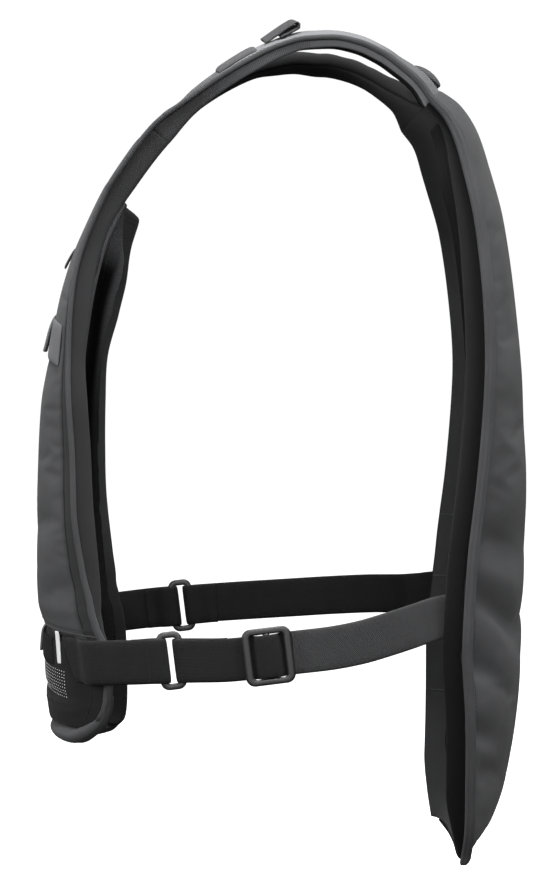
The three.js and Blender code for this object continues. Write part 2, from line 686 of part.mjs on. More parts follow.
// A flat frame with rounded corners and one or two windows, drawn upright.
function frameShape({ wide, tall, corner }, windows) {
  const rounded = (shape, x0, y0, x1, y1, r) => {
    shape.moveTo(x0 + r, y0);
    shape.lineTo(x1 - r, y0);
    shape.absarc(x1 - r, y0 + r, r, -Math.PI / 2, 0);
    shape.lineTo(x1, y1 - r);
    shape.absarc(x1 - r, y1 - r, r, 0, Math.PI / 2);
    shape.lineTo(x0 + r, y1);
    shape.absarc(x0 + r, y1 - r, r, Math.PI / 2, Math.PI);
    shape.lineTo(x0, y0 + r);
    shape.absarc(x0 + r, y0 + r, r, Math.PI, 1.5 * Math.PI);
    return shape;
  };
  const shape = rounded(new THREE.Shape(), -wide / 2, -tall / 2, wide / 2, tall / 2, corner);
  for (const [x0, x1, halfTall] of windows) {
    shape.holes.push(rounded(new THREE.Path(), x0, -halfTall, x1, halfTall, SLOT_CORNER));
  }
  return shape;
}

function frame(size, windows) {
  const geometry = new THREE.ExtrudeGeometry(frameShape(size, windows), {
    depth: size.thick, bevelEnabled: false, curveSegments: 4,
  });
  geometry.translate(0, 0, -size.thick / 2);
  geometry.rotateX(Math.PI / 2);
  return geometry;
}

for (const side of [LEFT, RIGHT]) {
  add(`waist_tab_${sideName(side)}`, waistTab(side), webbing());
  add(`side_strap_${sideName(side)}`, sideStrap(side), webbing());
  const slot = RING.wide / 2 - RING.bar;
  const loop = frame(RING, [[-slot, slot, TAB_WEBBING.width / 2 + SLOT_PLAY]]);
  const ring = add(`ring_${sideName(side)}`, loop, ringPlastic());
  const { x, w } = ringOn(side);
  ring.position.set(x, side * w, heightAt(x, side));
  ring.rotation.y = -BUCKLE_TILT;
}

const windowEdge = SLIDER.wide / 2 - SLIDER.bar;
const halfWindow = STRAP_WEBBING.width / 2 + SLOT_PLAY;
const slider = add('slider_left', frame(SLIDER, [
  [-windowEdge, -SLIDER.bar / 2, halfWindow],
  [SLIDER.bar / 2, windowEdge, halfWindow],
]), sliderMetal());
slider.position.set(SLIDER_PLACE.x, LEFT * SLIDER_PLACE.w, SLIDER_PLACE.z);
slider.rotation.y = -BUCKLE_TILT;

export default vest;
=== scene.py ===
import math

import bpy
import bmesh
import numpy as np
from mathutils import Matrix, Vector
from mathutils.bvhtree import BVHTree


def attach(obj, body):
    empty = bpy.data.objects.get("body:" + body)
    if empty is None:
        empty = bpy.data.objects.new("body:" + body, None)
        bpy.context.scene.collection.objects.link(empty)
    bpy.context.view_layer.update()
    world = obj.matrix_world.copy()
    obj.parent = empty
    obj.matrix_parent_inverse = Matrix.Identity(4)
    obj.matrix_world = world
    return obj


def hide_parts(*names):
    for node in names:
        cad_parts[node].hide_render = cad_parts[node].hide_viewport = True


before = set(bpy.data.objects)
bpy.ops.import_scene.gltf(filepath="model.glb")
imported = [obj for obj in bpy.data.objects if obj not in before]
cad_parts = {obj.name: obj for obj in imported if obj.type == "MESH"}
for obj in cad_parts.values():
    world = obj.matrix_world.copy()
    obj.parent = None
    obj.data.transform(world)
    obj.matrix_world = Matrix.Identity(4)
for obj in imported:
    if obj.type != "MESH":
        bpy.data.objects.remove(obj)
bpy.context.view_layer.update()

# The studio
# A wide pale floor under soft white light. The camera stands square to the wearer's left side,
# about 2.2 m away and level with the chest.
scene = bpy.context.scene
scene.view_settings.view_transform = "Standard"

CAMERA = {"place": (-0.087, -2.230, -0.2275), "toward": (64, 2625, -115.5), "sensor": 36, "lens": 106.06}
lens = bpy.data.cameras.new("camera")
lens.sensor_width, lens.lens = CAMERA["sensor"], CAMERA["lens"]
camera = bpy.data.objects.new("camera", lens)
camera.location = CAMERA["place"]
camera.rotation_euler = Vector(CAMERA["toward"]).to_track_quat("-Z", "Y").to_euler()
scene.collection.objects.link(camera)
scene.camera = camera


def softbox(name, place, target, size, power):
    light = bpy.data.lights.new(name, "AREA")
    light.shape, light.size, light.energy = "DISK", size, power
    lamp = bpy.data.objects.new(name, light)
    lamp.location = place
    lamp.rotation_euler = (Vector(target) - Vector(place)).to_track_quat("-Z", "Y").to_euler()
    scene.collection.objects.link(lamp)


softbox("top_light", (-0.1, -0.6, 1.9), (-0.02, 0, -0.2), 1.0, 78)
softbox("front_light", (-2.3, -0.7, 0.4), (-0.1, 0, -0.35), 1.3, 44)
softbox("back_light", (1.7, -1.0, 1.7), (0.1, 0, -0.35), 0.8, 62)
softbox("side_light", (-0.15, -2.6, 0.1), (-0.05, 0, -0.35), 0.9, 26)


class Shade:
    """A socket of a node tree. Arithmetic on it adds Math nodes, and node() adds any other."""

    def __init__(self, tree, socket=None):
        self.tree, self.socket = tree, socket

    def node(self, kind, settings=None, sockets=None, out=0):
        made = self.tree.nodes.new(kind)
        for name, value in (settings or {}).items():
            setattr(made, name, value)
        for key, value in (sockets or {}).items():
            target = made.inputs[key] if isinstance(key, int) else next(
                s for s in made.inputs if key in (s.identifier, s.name))
            if isinstance(value, Shade):
                self.tree.links.new(target, value.socket)
            else:
                target.default_value = value
        found = [s for i, s in enumerate(made.outputs) if out in (i, s.identifier, s.name)]
        return Shade(self.tree, found[0] if found else None)

    def math(self, operation, *values):
        return self.node("ShaderNodeMath", {"operation": operation}, dict(enumerate(values)))

    def __add__(self, other):
        return self.math("ADD", self, other)

    def __radd__(self, other):
        return self.math("ADD", other, self)

    def __sub__(self, other):
        return self.math("SUBTRACT", self, other)

    def __rsub__(self, other):
        return self.math("SUBTRACT", other, self)

    def __mul__(self, other):
        return self.math("MULTIPLY", self, other)

    def __rmul__(self, other):
        return self.math("MULTIPLY", other, self)

    def sine(self):
        return self.math("SINE", self)

    def clamp(self):
        return self.node("ShaderNodeClamp", {}, {"Value": self})

    def bump(self, strength, distance):
        """The normal of a surface with this height."""
        relief = {"Strength": strength, "Distance": distance, "Height": self}
        return self.node("ShaderNodeBump", {}, relief, "Normal")

    def mix(self, low, high):
        colours = {"Factor_Float": self, "A_Color": low, "B_Color": high}
        return self.node("ShaderNodeMix", {"data_type": "RGBA"}, colours, "Result_Color")


COOL, NEUTRAL = (0.98, 0.99, 1.03), (1, 1, 1)


def grey(level, tint=COOL):
    """A colour from an 8-bit grey level as it is seen, with a slight tint."""
    linear = ((level / 255 + 0.055) / 1.055) ** 2.4
    return tuple(linear * part for part in tint) + (1,)


def new_look(name):
    material = bpy.data.materials.new(name)
    material.use_nodes = True
    material.node_tree.nodes.clear()
    return material, Shade(material.node_tree)


def finish_look(look, sockets):
    shader = look.node("ShaderNodeBsdfPrincipled", {}, sockets, "BSDF")
    look.node("ShaderNodeOutputMaterial", {}, {"Surface": shader})


def noise(look, scale, detail=3.0):
    place = look.node("ShaderNodeTexCoord", out="Object")
    return look.node("ShaderNodeTexNoise", {}, {
        "Vector": place, "Scale": scale, "Detail": detail}, "Fac")


world = bpy.data.worlds.new("white_room")
world.use_nodes = True
world.node_tree.nodes.clear()
room = Shade(world.node_tree)
upward = room.node("ShaderNodeTexCoord", out="Generated")
height = room.node("ShaderNodeSeparateXYZ", {}, {"Vector": upward}, "Z")
fill = room.node("ShaderNodeMapRange", {}, {
    "Value": height, "From Min": -0.5, "From Max": 0.9, "To Min": 0.02, "To Max": 0.32})
backdrop = room.node("ShaderNodeLightPath", out="Is Camera Ray")
walls = room.node("ShaderNodeBackground", {}, {
    "Color": (1, 1, 1, 1), "Strength": fill + backdrop * (1.02 - fill)})
room.node("ShaderNodeOutputWorld", {}, {"Surface": walls})
scene.world = world

floor_look, look = new_look("pale_floor")
finish_look(look, {
    "Roughness": 0.9, "Specular IOR Level": 0.1, "Emission Color": (1, 1, 1, 1), "Emission Strength": 0.9,
    "Base Color": noise(look, 3.0).mix((0.93, 0.93, 0.93, 1), (0.97, 0.97, 0.97, 1))})
FLOOR_HALF, FLOOR_Z = 9, -1
floor_mesh = bpy.data.meshes.new("floor")
floor_mesh.from_pydata([(x * FLOOR_HALF, y * FLOOR_HALF, FLOOR_Z) for x, y in (
    (-1, -1), (1, -1), (1, 1), (-1, 1))], [], [(0, 1, 2, 3)])
floor_mesh.materials.append(floor_look)
floor = bpy.data.objects.new("floor", floor_mesh)
floor.visible_diffuse = floor.visible_glossy = False
scene.collection.objects.link(floor)

# The padded back
# A padded back from the neckline to the tail, a shallow C in plan, with the folded airbag
# between a woven outer cover and the lining. Its sides end in a gusset and a turned-in rim.
MM = 0.001
LEFT, RIGHT = -1, 1
SIDES = {LEFT: "left", RIGHT: "right"}
RIM, SAG_REACH = 6, 120
# The table goes up the front, over the shoulder and down the back. x, z: centre line of the
# outer face (mm). lean: turn of the section. neck, crown, arm: distances from the middle.
# neck_drop, drop: fall of the face at the neck and at the arm edge. band: width of the gusset.
# thick: padding. curve, rim: roundness. lift, flare, sag: how the right half hangs askew.
COLUMNS = "x z lean neck crown arm neck_drop drop band thick curve rim lift flare sag".split()
ROWS = np.array([
    [-223, -551, 0, 8, 45, 114, 5, 36, 6, 24, 2.6, 7, 0, 8, 36],
    [-224, -542, 0, 7, 45, 122, 5, 46, 5, 26, 2.6, 8, 0, 7, 34],
    [-225, -527, 0, 7, 45, 127, 5, 53, 3, 28, 2.6, 8, 0, 5, 22],
    [-226, -502, 0, 7, 45, 129, 5, 55, 3, 29, 2.6, 8, 0, 3, 6],
    [-226, -477, 0, 7, 45, 130, 5, 50, 4, 29, 2.6, 8, 0, 4, 2],
    [-227, -467, 0, 7, 45, 130, 5, 46, 6, 29, 2.6, 9, 0, 4, 1],
    [-231, -452, 0, 7, 45, 130, 6, 46, 8, 30, 2.6, 9, 0, 3, 0],
    [-232, -425, 0, 7, 46, 130, 6, 41, 13, 30, 2.6, 9, 0, 1, 0],
    [-232, -380, 0, 7, 47, 130, 6, 34, 16, 30, 2.6, 9, 0, 0, 0],
    [-230.5, -330, 0, 7, 48, 130, 6, 31, 15, 29, 2.6, 9, 0, 1, 0],
    [-228, -290, 0, 7, 50, 130, 6, 26, 15, 28, 2.6, 9, 0, 4, 0],
    [-221, -250, 3, 7, 52, 128, 6, 18.5, 13.5, 26, 2.4, 9, 0, 8, 0],
    [-213, -206, 8, 10, 55, 126, 6, 12.5, 16.5, 24, 2.2, 8, 0, 14, 0],
    [-203, -172, 16, 18, 60, 124, 6, 8, 16, 22, 2, 6, 1, 18, 0],
    [-189, -140, 26, 32, 68, 122, 5, 5.5, 14.5, 18, 1.9, 4, 4, 17, 0],
    [-176, -114, 29, 42, 74, 121, 4, 4.5, 17.5, 18, 1.8, 3, 8, 14, 0],
    [-174, -110.8, 32, 44, 75, 121, 4, 4, 18, 17, 1.8, 2.5, 9, -14, 0],
    [-138, -62, 43, 60, 82, 120, 3, 4, 19, 16, 1.7, 1.8, 10, -7, 0],
    [-112, -39.5, 48, 65, 84, 120, 3, 6, 12.5, 15, 1.6, 1.5, 11, -5, 0],
    [-82, -16.5, 57, 69, 86, 120, 3, 8, 10.5, 14, 1.6, 1.4, 10, -5, 0],
    [-54, 0.5, 66, 70, 87, 120, 3, 9, 10, 13, 1.6, 1.4, 7, -6, 0],
    [-35, 8.8, 73, 70, 87, 120, 3.5, 9, 9, 13, 1.6, 1.4, 4, -3, 0],
    [-13, 14.5, 83, 70, 87, 120, 4, 9, 8, 13, 1.6, 1.4, 2, 0, 0],
    [10, 15.5, 93, 70, 87, 120, 4, 9, 7.5, 13, 1.6, 1.4, 0, 2, 0],
    [32, 11.5, 104, 69, 86, 120, 4, 9, 7, 13, 1.6, 1.4, 0, 2, 0],
    [52, 3, 114, 66, 82, 119, 4, 9, 7, 13, 1.7, 1.6, 0, 1, 0],
    [70, -7, 121, 58, 74, 118, 3, 11, 6.5, 14, 1.9, 1.8, 0, 1, 0],
    [85, -15.5, 126, 43, 58, 118, 2, 14, 6.5, 15, 2.1, 2.4, 0, 1, 0],
    [94, -21.5, 128, 26, 38, 117, 1, 17, 7, 16, 2.3, 3, 0, 3, 0],
    [101, -26, 131, 0.1, 0.2, 117, 0, 20, 8, 17, 2.4, 4, 0, 4, 0],
    [119, -39, 139, 0, 0, 117, 0, 24, 9, 20, 2.5, 6, 0, 5, 0],
    [134, -62, 152, 0, 0, 119, 0, 26, 12, 22, 2.7, 8, 0, 4, 0],
    [144, -92, 163, 0, 0, 122, 0, 27, 15, 24, 2.8, 9, 0, 0, 0],
    [156, -138, 170, 0, 0, 126, 0, 29, 18, 25, 3, 10, 0, -6, 0],
    [166, -207, 176, 0, 0, 130, 0, 32, 20, 26, 3, 10, 0, -11, 0],
    [172, -270, 179, 0, 0, 131, 0, 37, 20, 28, 3, 10, 0, -13, 0],
    [175, -350, 180, 0, 0, 130, 0, 46, 20, 31, 3, 10, 0, -13, 0],
    [173.5, -418, 180, 0, 0, 129, 0, 52, 20, 34, 3, 10, 0, -12, 0],
    [172, -480, 180, 0, 0, 127, 0, 54, 20, 36, 3, 10, 0, -8, 0],
    [168, -540, 180, 0, 0, 122, 0, 47, 20, 36, 3, 10, 0, -3, 0],
    [158, -605, 180, 0, 0, 113, 0, 36, 20, 31, 2.8, 9, 0, 0, 0],
    [147, -638, 180, 0, 0, 106, 0, 25, 14, 26, 2.6, 8, 0, 4, 0],
    [133, -661, 180, 0, 0, 96, 0, 13, 6, 18, 2.4, 6, 0, 7, 0],
])
ALONG = np.concatenate([[0], np.cumsum(np.hypot(*np.diff(ROWS[:, :2], axis=0).T))])
FRONT_TOP, BACK_NECK = ALONG[17], ALONG[29]


def smooth_through(knots, values, places):
    """Values between knots on a smooth curve that doesn't overshoot."""
    steps = np.diff(knots)[:, None]
    rises = np.diff(values, axis=0) / steps
    pull = np.zeros_like(values, dtype=float)
    pull[0], pull[-1] = rises[0], rises[-1]
    product, total = rises[:-1] * rises[1:], rises[:-1] + rises[1:]
    pull[1:-1] = np.where(product > 0, 2 * product / np.where(total == 0, 1, total), 0)
    k = np.clip(np.searchsorted(knots, places, side="right") - 1, 0, len(knots) - 2)
    h = steps[k]
    t = (places - knots[k])[:, None] / h
    return ((1 + 2 * t) * (1 - t) ** 2 * values[k] + t * (1 - t) ** 2 * h * pull[k]
            + t * t * (3 - 2 * t) * values[k + 1] - t * t * (1 - t) * h * pull[k + 1])


def sections(places):
    rows = smooth_through(ALONG, ROWS, np.asarray(places, float))
    return {name: rows[:, i:i + 1] for i, name in enumerate(COLUMNS)}


def outer_depth(at, w):
    at_neck = at["neck_drop"] * ((at["crown"] - w) / np.maximum(at["crown"] - at["neck"], 1)) ** 2
    share = np.clip((w - at["crown"]) / (at["arm"] - at["crown"]), 0, 1)
    return np.where(w <= at["crown"], at_neck, at["drop"] * share ** at["curve"])


def rim_depth(at, side):
    return at["drop"] + at["band"] + (at["flare"] if side == RIGHT else 0)


def inner_depth(at, side, w):
    share = np.clip((w - at["crown"]) / (at["arm"] - RIM - at["crown"]), 0, 1)
    return at["thick"] + (rim_depth(at, side) - at["thick"]) * share ** at["rim"]


def on_vest(at, side, w, depth):
    """Points at a distance w from the middle and a depth under the centre line."""
    lean = np.radians(at["lean"])
    lift, sag = (at["lift"], at["sag"]) if side == RIGHT else (0, 0)
    return np.stack(np.broadcast_arrays(
        at["x"] + (depth - lift) * np.cos(lean), side * w,
        at["z"] - (depth - lift) * np.sin(lean) - sag * (w / SAG_REACH) ** 2), axis=-1)


FACE_COLUMNS, GUSSET_COLUMNS, EDGE_COLUMNS = 30, 6, 2
INNER_COLUMN = FACE_COLUMNS + GUSSET_COLUMNS + EDGE_COLUMNS
MIDDLE_FADE = 30


def half_loop(at, side, dents, open_neck):
    """Closed half sections: face, gusset, rim and inner face, as rows of points."""
    neck, arm, deep = at["neck"], at["arm"], rim_depth(at, side)
    w = neck + (arm - neck) * np.linspace(0, 1, FACE_COLUMNS)
    fall = outer_depth(at, w)
    for on, height, middle, depth, across, along, slope in dents:
        if on == side:
            down = at["z"] - height - slope * (w - middle)
            dent = depth * np.exp(-((w - middle) / across) ** 2 - (down / along) ** 2)
            fall = fall + dent * (1 if open_neck else np.clip(w / MIDDLE_FADE, 0, 1))
    face = on_vest(at, side, w, fall)
    share = np.linspace(0, 1, GUSSET_COLUMNS + 1)[1:]
    gusset = on_vest(at, side, arm - share, at["drop"] + (deep - at["drop"]) * share)
    edge = on_vest(at, side, arm - 1 - (RIM - 2) * np.array([0.35, 0.65]), deep)
    turn = at["crown"] + (arm - RIM - at["crown"]) * np.linspace(1, 0.08, 9) ** (1 / at["rim"])
    flat = turn[:, -1:] + (neck - turn[:, -1:]) * np.linspace(0, 1, 28)[1:]
    w = np.concatenate([turn, flat], axis=1)
    loop = np.concatenate([face, gusset, edge, on_vest(at, side, w, inner_depth(at, side, w))], axis=1)
    if open_neck:
        first, last = loop[:, :1], loop[:, -1:]
        loop = np.concatenate([first + (last - first) / 3, loop, first + (last - first) * 2 / 3], axis=1)
    for _ in range(2):
        soft = loop / 2 + (np.roll(loop, 1, axis=1) + np.roll(loop, -1, axis=1)) / 4
        if not open_neck:
            soft[:, [0, -1]] = loop[:, [0, -1]]
        loop = soft
    return loop


def stations(start, end, step):
    """Places along the vest, with two extra ones at each end where the seam pulls in."""
    inner = np.linspace(start + 4, end - 4, max(2, round((end - start) / step)))
    places = np.concatenate([[start, start + 1.2], inner, [end - 1.2, end]])
    squeeze = np.concatenate([[0.7, 0.9], np.ones(len(inner)), [0.9, 0.7]])
    return places, squeeze


def make_piece(name, points, faces, uvs, material, values=None):
    """A mesh object from points in mm, with its UV map and named values on its points."""
    mesh = bpy.data.meshes.new(name)
    mesh.from_pydata((np.asarray(points) * MM).tolist(), [], [list(map(int, f)) for f in faces])
    corner = np.zeros(len(mesh.loops), dtype=int)
    mesh.loops.foreach_get("vertex_index", corner)
    weave = mesh.uv_layers.new(name="weave")
    weave.data.foreach_set("uv", (np.asarray(uvs)[corner] * MM).ravel())
    for key, numbers in (values or {}).items():
        mesh.attributes.new(key, "FLOAT", "POINT").data.foreach_set("value", np.asarray(numbers, float))
    work = bmesh.new()
    work.from_mesh(mesh)
    bmesh.ops.remove_doubles(work, verts=work.verts, dist=0.3 * MM)
    bmesh.ops.dissolve_degenerate(work, edges=work.edges, dist=0.01 * MM)
    bmesh.ops.recalc_face_normals(work, faces=work.faces)
    work.to_mesh(mesh)
    work.free()
    mesh.polygons.foreach_set("use_smooth", np.ones(len(mesh.polygons), dtype=bool))
    mesh.materials.append(material)
    piece = bpy.data.objects.new(name, mesh)
    scene.collection.objects.link(piece)
    return piece


def lengths(path):
    """How far along a path each of its points lies."""
    return np.concatenate([[0], np.cumsum(np.linalg.norm(np.diff(path, axis=0), axis=1))])


def unit(vectors):
    return vectors / np.linalg.norm(vectors, axis=-1, keepdims=True)


def strip(loop, places, start, wrap):
    """Faces and UVs of rows of points, closed at both ends by joining opposite points."""
    rows, count = loop.shape[:2]
    index = start + np.arange(rows * count).reshape(rows, count)
    run = np.arange(count if wrap else count - 1)
    after = (run + 1) % count
    quads = [np.stack([index[:-1][:, run], index[1:][:, run], index[1:][:, after], index[:-1][:, after]],
                      axis=-1).reshape(-1, 4)]
    k = np.arange(count // 2 - 1)
    for row in (index[0], index[-1]):
        quads.append(np.stack([row[k], row[k + 1], row[count - 2 - k], row[count - 1 - k]], axis=-1))
    girth = lengths(loop[rows // 2])
    uvs = np.stack(np.broadcast_arrays(girth[None, :], np.asarray(places)[:, None]), axis=-1)
    return np.concatenate(quads), uvs.reshape(-1, 2)


def joined(name, loops, places, wrap, material, values=None):
    """One piece over one or more sets of rows of points, with named values for each set."""
    faces, uvs, start = [], [], 0
    for loop in loops:
        quads, uv = strip(loop, places, start, wrap)
        faces.append(quads)
        uvs.append(uv)
        start += len(uv)
    points = np.concatenate([loop.reshape(-1, 3) for loop in loops])
    values = {key: np.concatenate([np.ravel(part) for part in parts])
              for key, parts in (values or {}).items()}
    return make_piece(name, points, np.concatenate(faces), np.concatenate(uvs), material, values)


def padded_piece(name, node, span, step, halves, dents, material, tone, limits):
    """A padded cover between two places, swollen over its filling. tone(points, columns) gives the
    share of its second colour, a darker cloth that also serves as painted shade. limits: heights, and
    how far a point moves there (mm)."""
    open_neck = len(halves) == 1
    places, squeeze = stations(*span, step)
    at = sections(places)
    loops, sewn, gusset = [], [], []
    for side in halves:
        loop = half_loop(at, side, dents, open_neck)
        middle = (loop + loop[:, ::-1]) / 2
        loop = middle + (loop - middle) * squeeze[:, None, None]
        rows, count = loop.shape[:2]
        column = np.arange(count) - (1 if open_neck else 0)
        from_seams = FACE_COLUMNS - 1 - column
        if open_neck:
            from_seams = np.minimum(column, from_seams)
        free = np.where((column < FACE_COLUMNS) & (column >= 0), np.clip(from_seams / 3, 0, 1), 0)
        from_ends = np.clip((np.minimum(np.arange(rows), np.arange(rows)[::-1]) - 2) / 3, 0, 1)
        loops.append(loop)
        sewn.append(1 - free[None, :] * from_ends[:, None])
        gusset.append(np.broadcast_to(tone(loop, column), (rows, count)).astype(float))
    cover = joined(name, loops, places, open_neck, material, {"sewn": sewn, "gusset": gusset})
    fill_out(cover, *limits)
    join(cover, node)
    return cover


def coordinates(mesh):
    flat = np.zeros(len(mesh.vertices) * 3)
    mesh.vertices.foreach_get("co", flat)
    return flat.reshape(-1, 3)


FILL_FRAMES = 20
FILLING = {
    "quality": 4, "mass": 0.3, "tension_stiffness": 20, "compression_stiffness": 20, "shear_stiffness": 8,
    "bending_stiffness": 0.6, "use_pressure": True, "uniform_pressure_force": 4, "shrink_min": -0.012,
    "vertex_group_mass": "sewn"}


def fill_out(piece, heights, limits):
    """Lets the cover swell and crease over its filling, held at its seams."""
    mesh = piece.data
    rest = coordinates(mesh)
    held = piece.vertex_groups.new(name="sewn")
    for i, point in enumerate(mesh.attributes["sewn"].data):
        held.add([i], point.value, "REPLACE")
    cloth = piece.modifiers.new("filling", "CLOTH")
    for key, value in FILLING.items():
        setattr(cloth.settings, key, value)
    cloth.settings.effector_weights.gravity = 0
    cloth.point_cache.frame_start, cloth.point_cache.frame_end = 1, FILL_FRAMES
    for moment in range(1, FILL_FRAMES + 1):
        scene.frame_set(moment)
    shape = piece.evaluated_get(bpy.context.evaluated_depsgraph_get())
    shift = coordinates(shape.data) - rest
    piece.modifiers.remove(cloth)
    piece.vertex_groups.remove(held)
    scene.frame_set(1)
    far = np.linalg.norm(shift, axis=1, keepdims=True)
    most = np.interp(rest[:, 2:] / MM, heights, limits) * MM
    shift *= np.tanh(far / most) * most / np.maximum(far, 1e-9)
    mesh.vertices.foreach_set("co", (rest + shift).ravel())
    mesh.update()
    smooth(piece)


def keep_result(piece):
    """Makes what the modifiers show part of the mesh."""
    mesh = bpy.data.meshes.new_from_object(piece.evaluated_get(bpy.context.evaluated_depsgraph_get()))
    piece.modifiers.clear()
    old, piece.data = piece.data, mesh
    bpy.data.meshes.remove(old)
    mesh.name = piece.name


def smooth(piece):
    """One subdivision, made part of the mesh."""
    finer = piece.modifiers.new("smooth", "SUBSURF")
    finer.levels = finer.render_levels = 1
    keep_result(piece)


def join(piece, node=None):
    """Puts a finished piece on the body and the solid that it stands for."""
    if node:
        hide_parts(node)
    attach(piece, "root")


def weave_axes(look):
    """How far a point lies across and along the cloth."""
    uv = look.node("ShaderNodeUVMap", {"uv_map": "weave"}, out="UV")
    across = look.node("ShaderNodeSeparateXYZ", {}, {"Vector": uv}, "X")
    return across, Shade(look.tree, across.socket.node.outputs["Y"])


def woven_look(name, pale, dark, pitch, relief, rough, sheen, gusset=None):
    """Woven cloth between two grey levels: crossed threads, uneven dye and a soft bloom.
    gusset: the levels of its second colour, a darker cloth that also serves as painted shade."""
    material, look = new_look(name)
    across, along = weave_axes(look)
    turns = 2 * math.pi / (pitch * MM)
    threads = (across * turns).sine() * (along * turns).sine()
    patches, slubs = noise(look, 24.0, 4.0), noise(look, 900.0, 2.0)
    tone = (0.5 + (patches - 0.5) * 1.1 + threads * 0.16 + (slubs - 0.5) * 0.5).clamp()
    colour = tone.mix(grey(dark), grey(pale))
    if gusset:
        # The named share of the second colour: darker cloth, and painted shade where the tone functions put
        # it.
        mask = look.node("ShaderNodeAttribute", {"attribute_name": "gusset"}, out="Fac")
        colour = mask.mix(colour, tone.mix(*map(grey, gusset)))
    height = threads * 0.5 + (slubs - 0.5) * 0.8 + (patches - 0.5) * 2.0
    finish_look(look, {
        "Specular IOR Level": 0.18, "Sheen Weight": sheen, "Sheen Roughness": 0.5,
        "Base Color": colour, "Roughness": rough + (patches - 0.5) * 0.15,
        "Normal": height.bump(relief, 0.4 * MM)})
    return material


# The near-black second colour is the dark gusset cloth, and also the painted shade that the tone function
# below lays on it, the inner face and the cover.
back_cloth = woven_look("back_cloth", 76, 60, 1.7, 0.35, 0.85, 0.06, gusset=(2, 9))
BACK_DENTS = [
    (LEFT, -225, 104, 2.5, 14, 34, 0.1), (LEFT, -300, 80, 2.0, 40, 24, 0.2),
    (LEFT, -402, 98, 12, 36, 19, 0.05), (LEFT, -453, 100, 12, 40, 15, 0.65),
    (LEFT, -497, 118, 10, 18, 11, 0.9), (LEFT, -553, 112, 8, 18, 10, 0.5),
    (LEFT, -470, 52, 2.5, 40, 18, -0.2), (LEFT, -590, 96, 4, 16, 12, 0.3),
    (RIGHT, -240, 92, 3.0, 30, 20, 0.2), (RIGHT, -385, 96, 7, 36, 16, 0.1),
    (RIGHT, -452, 104, 7, 36, 14, 0.5), (RIGHT, -520, 112, 5, 26, 13, 0.4),
    (RIGHT, -330, 60, 2.0, 40, 18, 0.0),
]


def back_dark_cloth_and_painted_shade(points, column):
    """A dark gusset with painted shadow along the piping and painted shade low down, and painted shade
    on the inner face toward the neck and on the cover high up.
    """
    past_piping = np.clip((column - FACE_COLUMNS - 2) / (GUSSET_COLUMNS - 1), 0, 1)
    # The gusset's dark share eases off away from the piping and higher up: what stays is painted shadow along
    # the piping and painted shade low on the gusset.
    painted_shade_eased = np.interp(points[..., 2], (-450, -330), (0.07, 0.27)) * past_piping
    gusset = (1 - painted_shade_eased) * ((column >= FACE_COLUMNS) & (column < INNER_COLUMN))
    # Painted shade: the inner face takes the dark colour, at least 0.18 of it and up to 0.75 toward the neck.
    inside = np.clip((points[..., 2] + 230) / 120, 0.18, 0.75) * (column >= INNER_COLUMN)
    # Painted shade: the outer cover darkens toward the neck, holding back the light from above.
    high = np.clip((points[..., 2] + 230) / 420, 0, 0.3) * (column < FACE_COLUMNS)
    return np.maximum(gusset, inside + high)


back = padded_piece("padded_back", "back_panel", (BACK_NECK, ALONG[-1]), 4.5, (LEFT, RIGHT), BACK_DENTS,
                    back_cloth, back_dark_cloth_and_painted_shade, ((-420, -330, -250), (3, 1.4, 0.4)))

# The padded fronts
# Two padded chest panels of a like cloth, one each side of the front opening, with the airbag's
# front chambers inside. The cover is sewn to the gusset at the arm edge and bulges over its filling.
# The second colour is the darker gusset cloth, also laid as painted shade by the tone function below.
shell_cloth = woven_look("shell_cloth", 74, 60, 1.7, 0.35, 0.85, 0.06, gusset=(18, 28))
FRONT_DENTS = [
    (LEFT, -382, 92, 2.5, 24, 13, 0.2), (LEFT, -438, 104, 3.0, 22, 11, 0.3),
    (RIGHT, -396, 88, 2.5, 26, 14, 0.2),
    (LEFT, -475, 90, 3.6, 400, 4, -0.1), (RIGHT, -475, 90, 3.6, 400, 4, -0.1),
    (LEFT, -523, 80, 1.6, 46, 3.5, -0.1), (RIGHT, -523, 80, 1.6, 46, 3.5, -0.1),
]
WAIST_SEAM = {"z": -473.5, "w": 90, "slope": -0.1}


def front_dark_cloth_and_painted_shade(points, column):
    """A darker gusset cloth, with painted shade on the face columns that round over into it and on
    the inner rim toward its top and its hem, and a darker pouch.
    """
    seam = WAIST_SEAM["z"] + WAIST_SEAM["slope"] * (np.abs(points[..., 1]) - WAIST_SEAM["w"])
    pouch = (points[..., 2] < seam) & (column >= 0) & (column < FACE_COLUMNS)
    # The gusset is a darker cloth; the last three face columns share its colour as painted shade where the
    # face rounds over into it.
    edge = 0.6 * ((column >= FACE_COLUMNS - 3) & (column < INNER_COLUMN))
    # Painted shade on the inner rim, growing toward its top and toward the hem.
    rim = np.maximum((points[..., 2] + 330) / 200, (-400 - points[..., 2]) / 120)
    return np.maximum(np.maximum(edge, np.clip(rim, 0, 0.72) * (column >= INNER_COLUMN)), pouch)


fronts = {side: padded_piece(
    f"padded_front_{word}", f"front_panel_{word}", (0, FRONT_TOP - 0.3), 3, (side,), FRONT_DENTS,
    shell_cloth, front_dark_cloth_and_painted_shade, ((-460, -400), (2.2, 1.1))) for side, word in SIDES.items()}

# The shoulder straps
# Padded straps that carry the vest, from the chest over the shoulder to the back neckline,
# sewn across at both ends. They are thinner than the panels and flatten on the shoulder.
# The pale cover levels are painted light from above on the top of the shoulder, darkened by the tone function
# below toward the chest and the nape.
strap_cloth_painted_light = woven_look("strap_cloth_painted_light", 126, 110, 1.7, 0.35, 0.85, 0.06, gusset=(14, 22))
NECK_EDGE_COLUMNS = 9


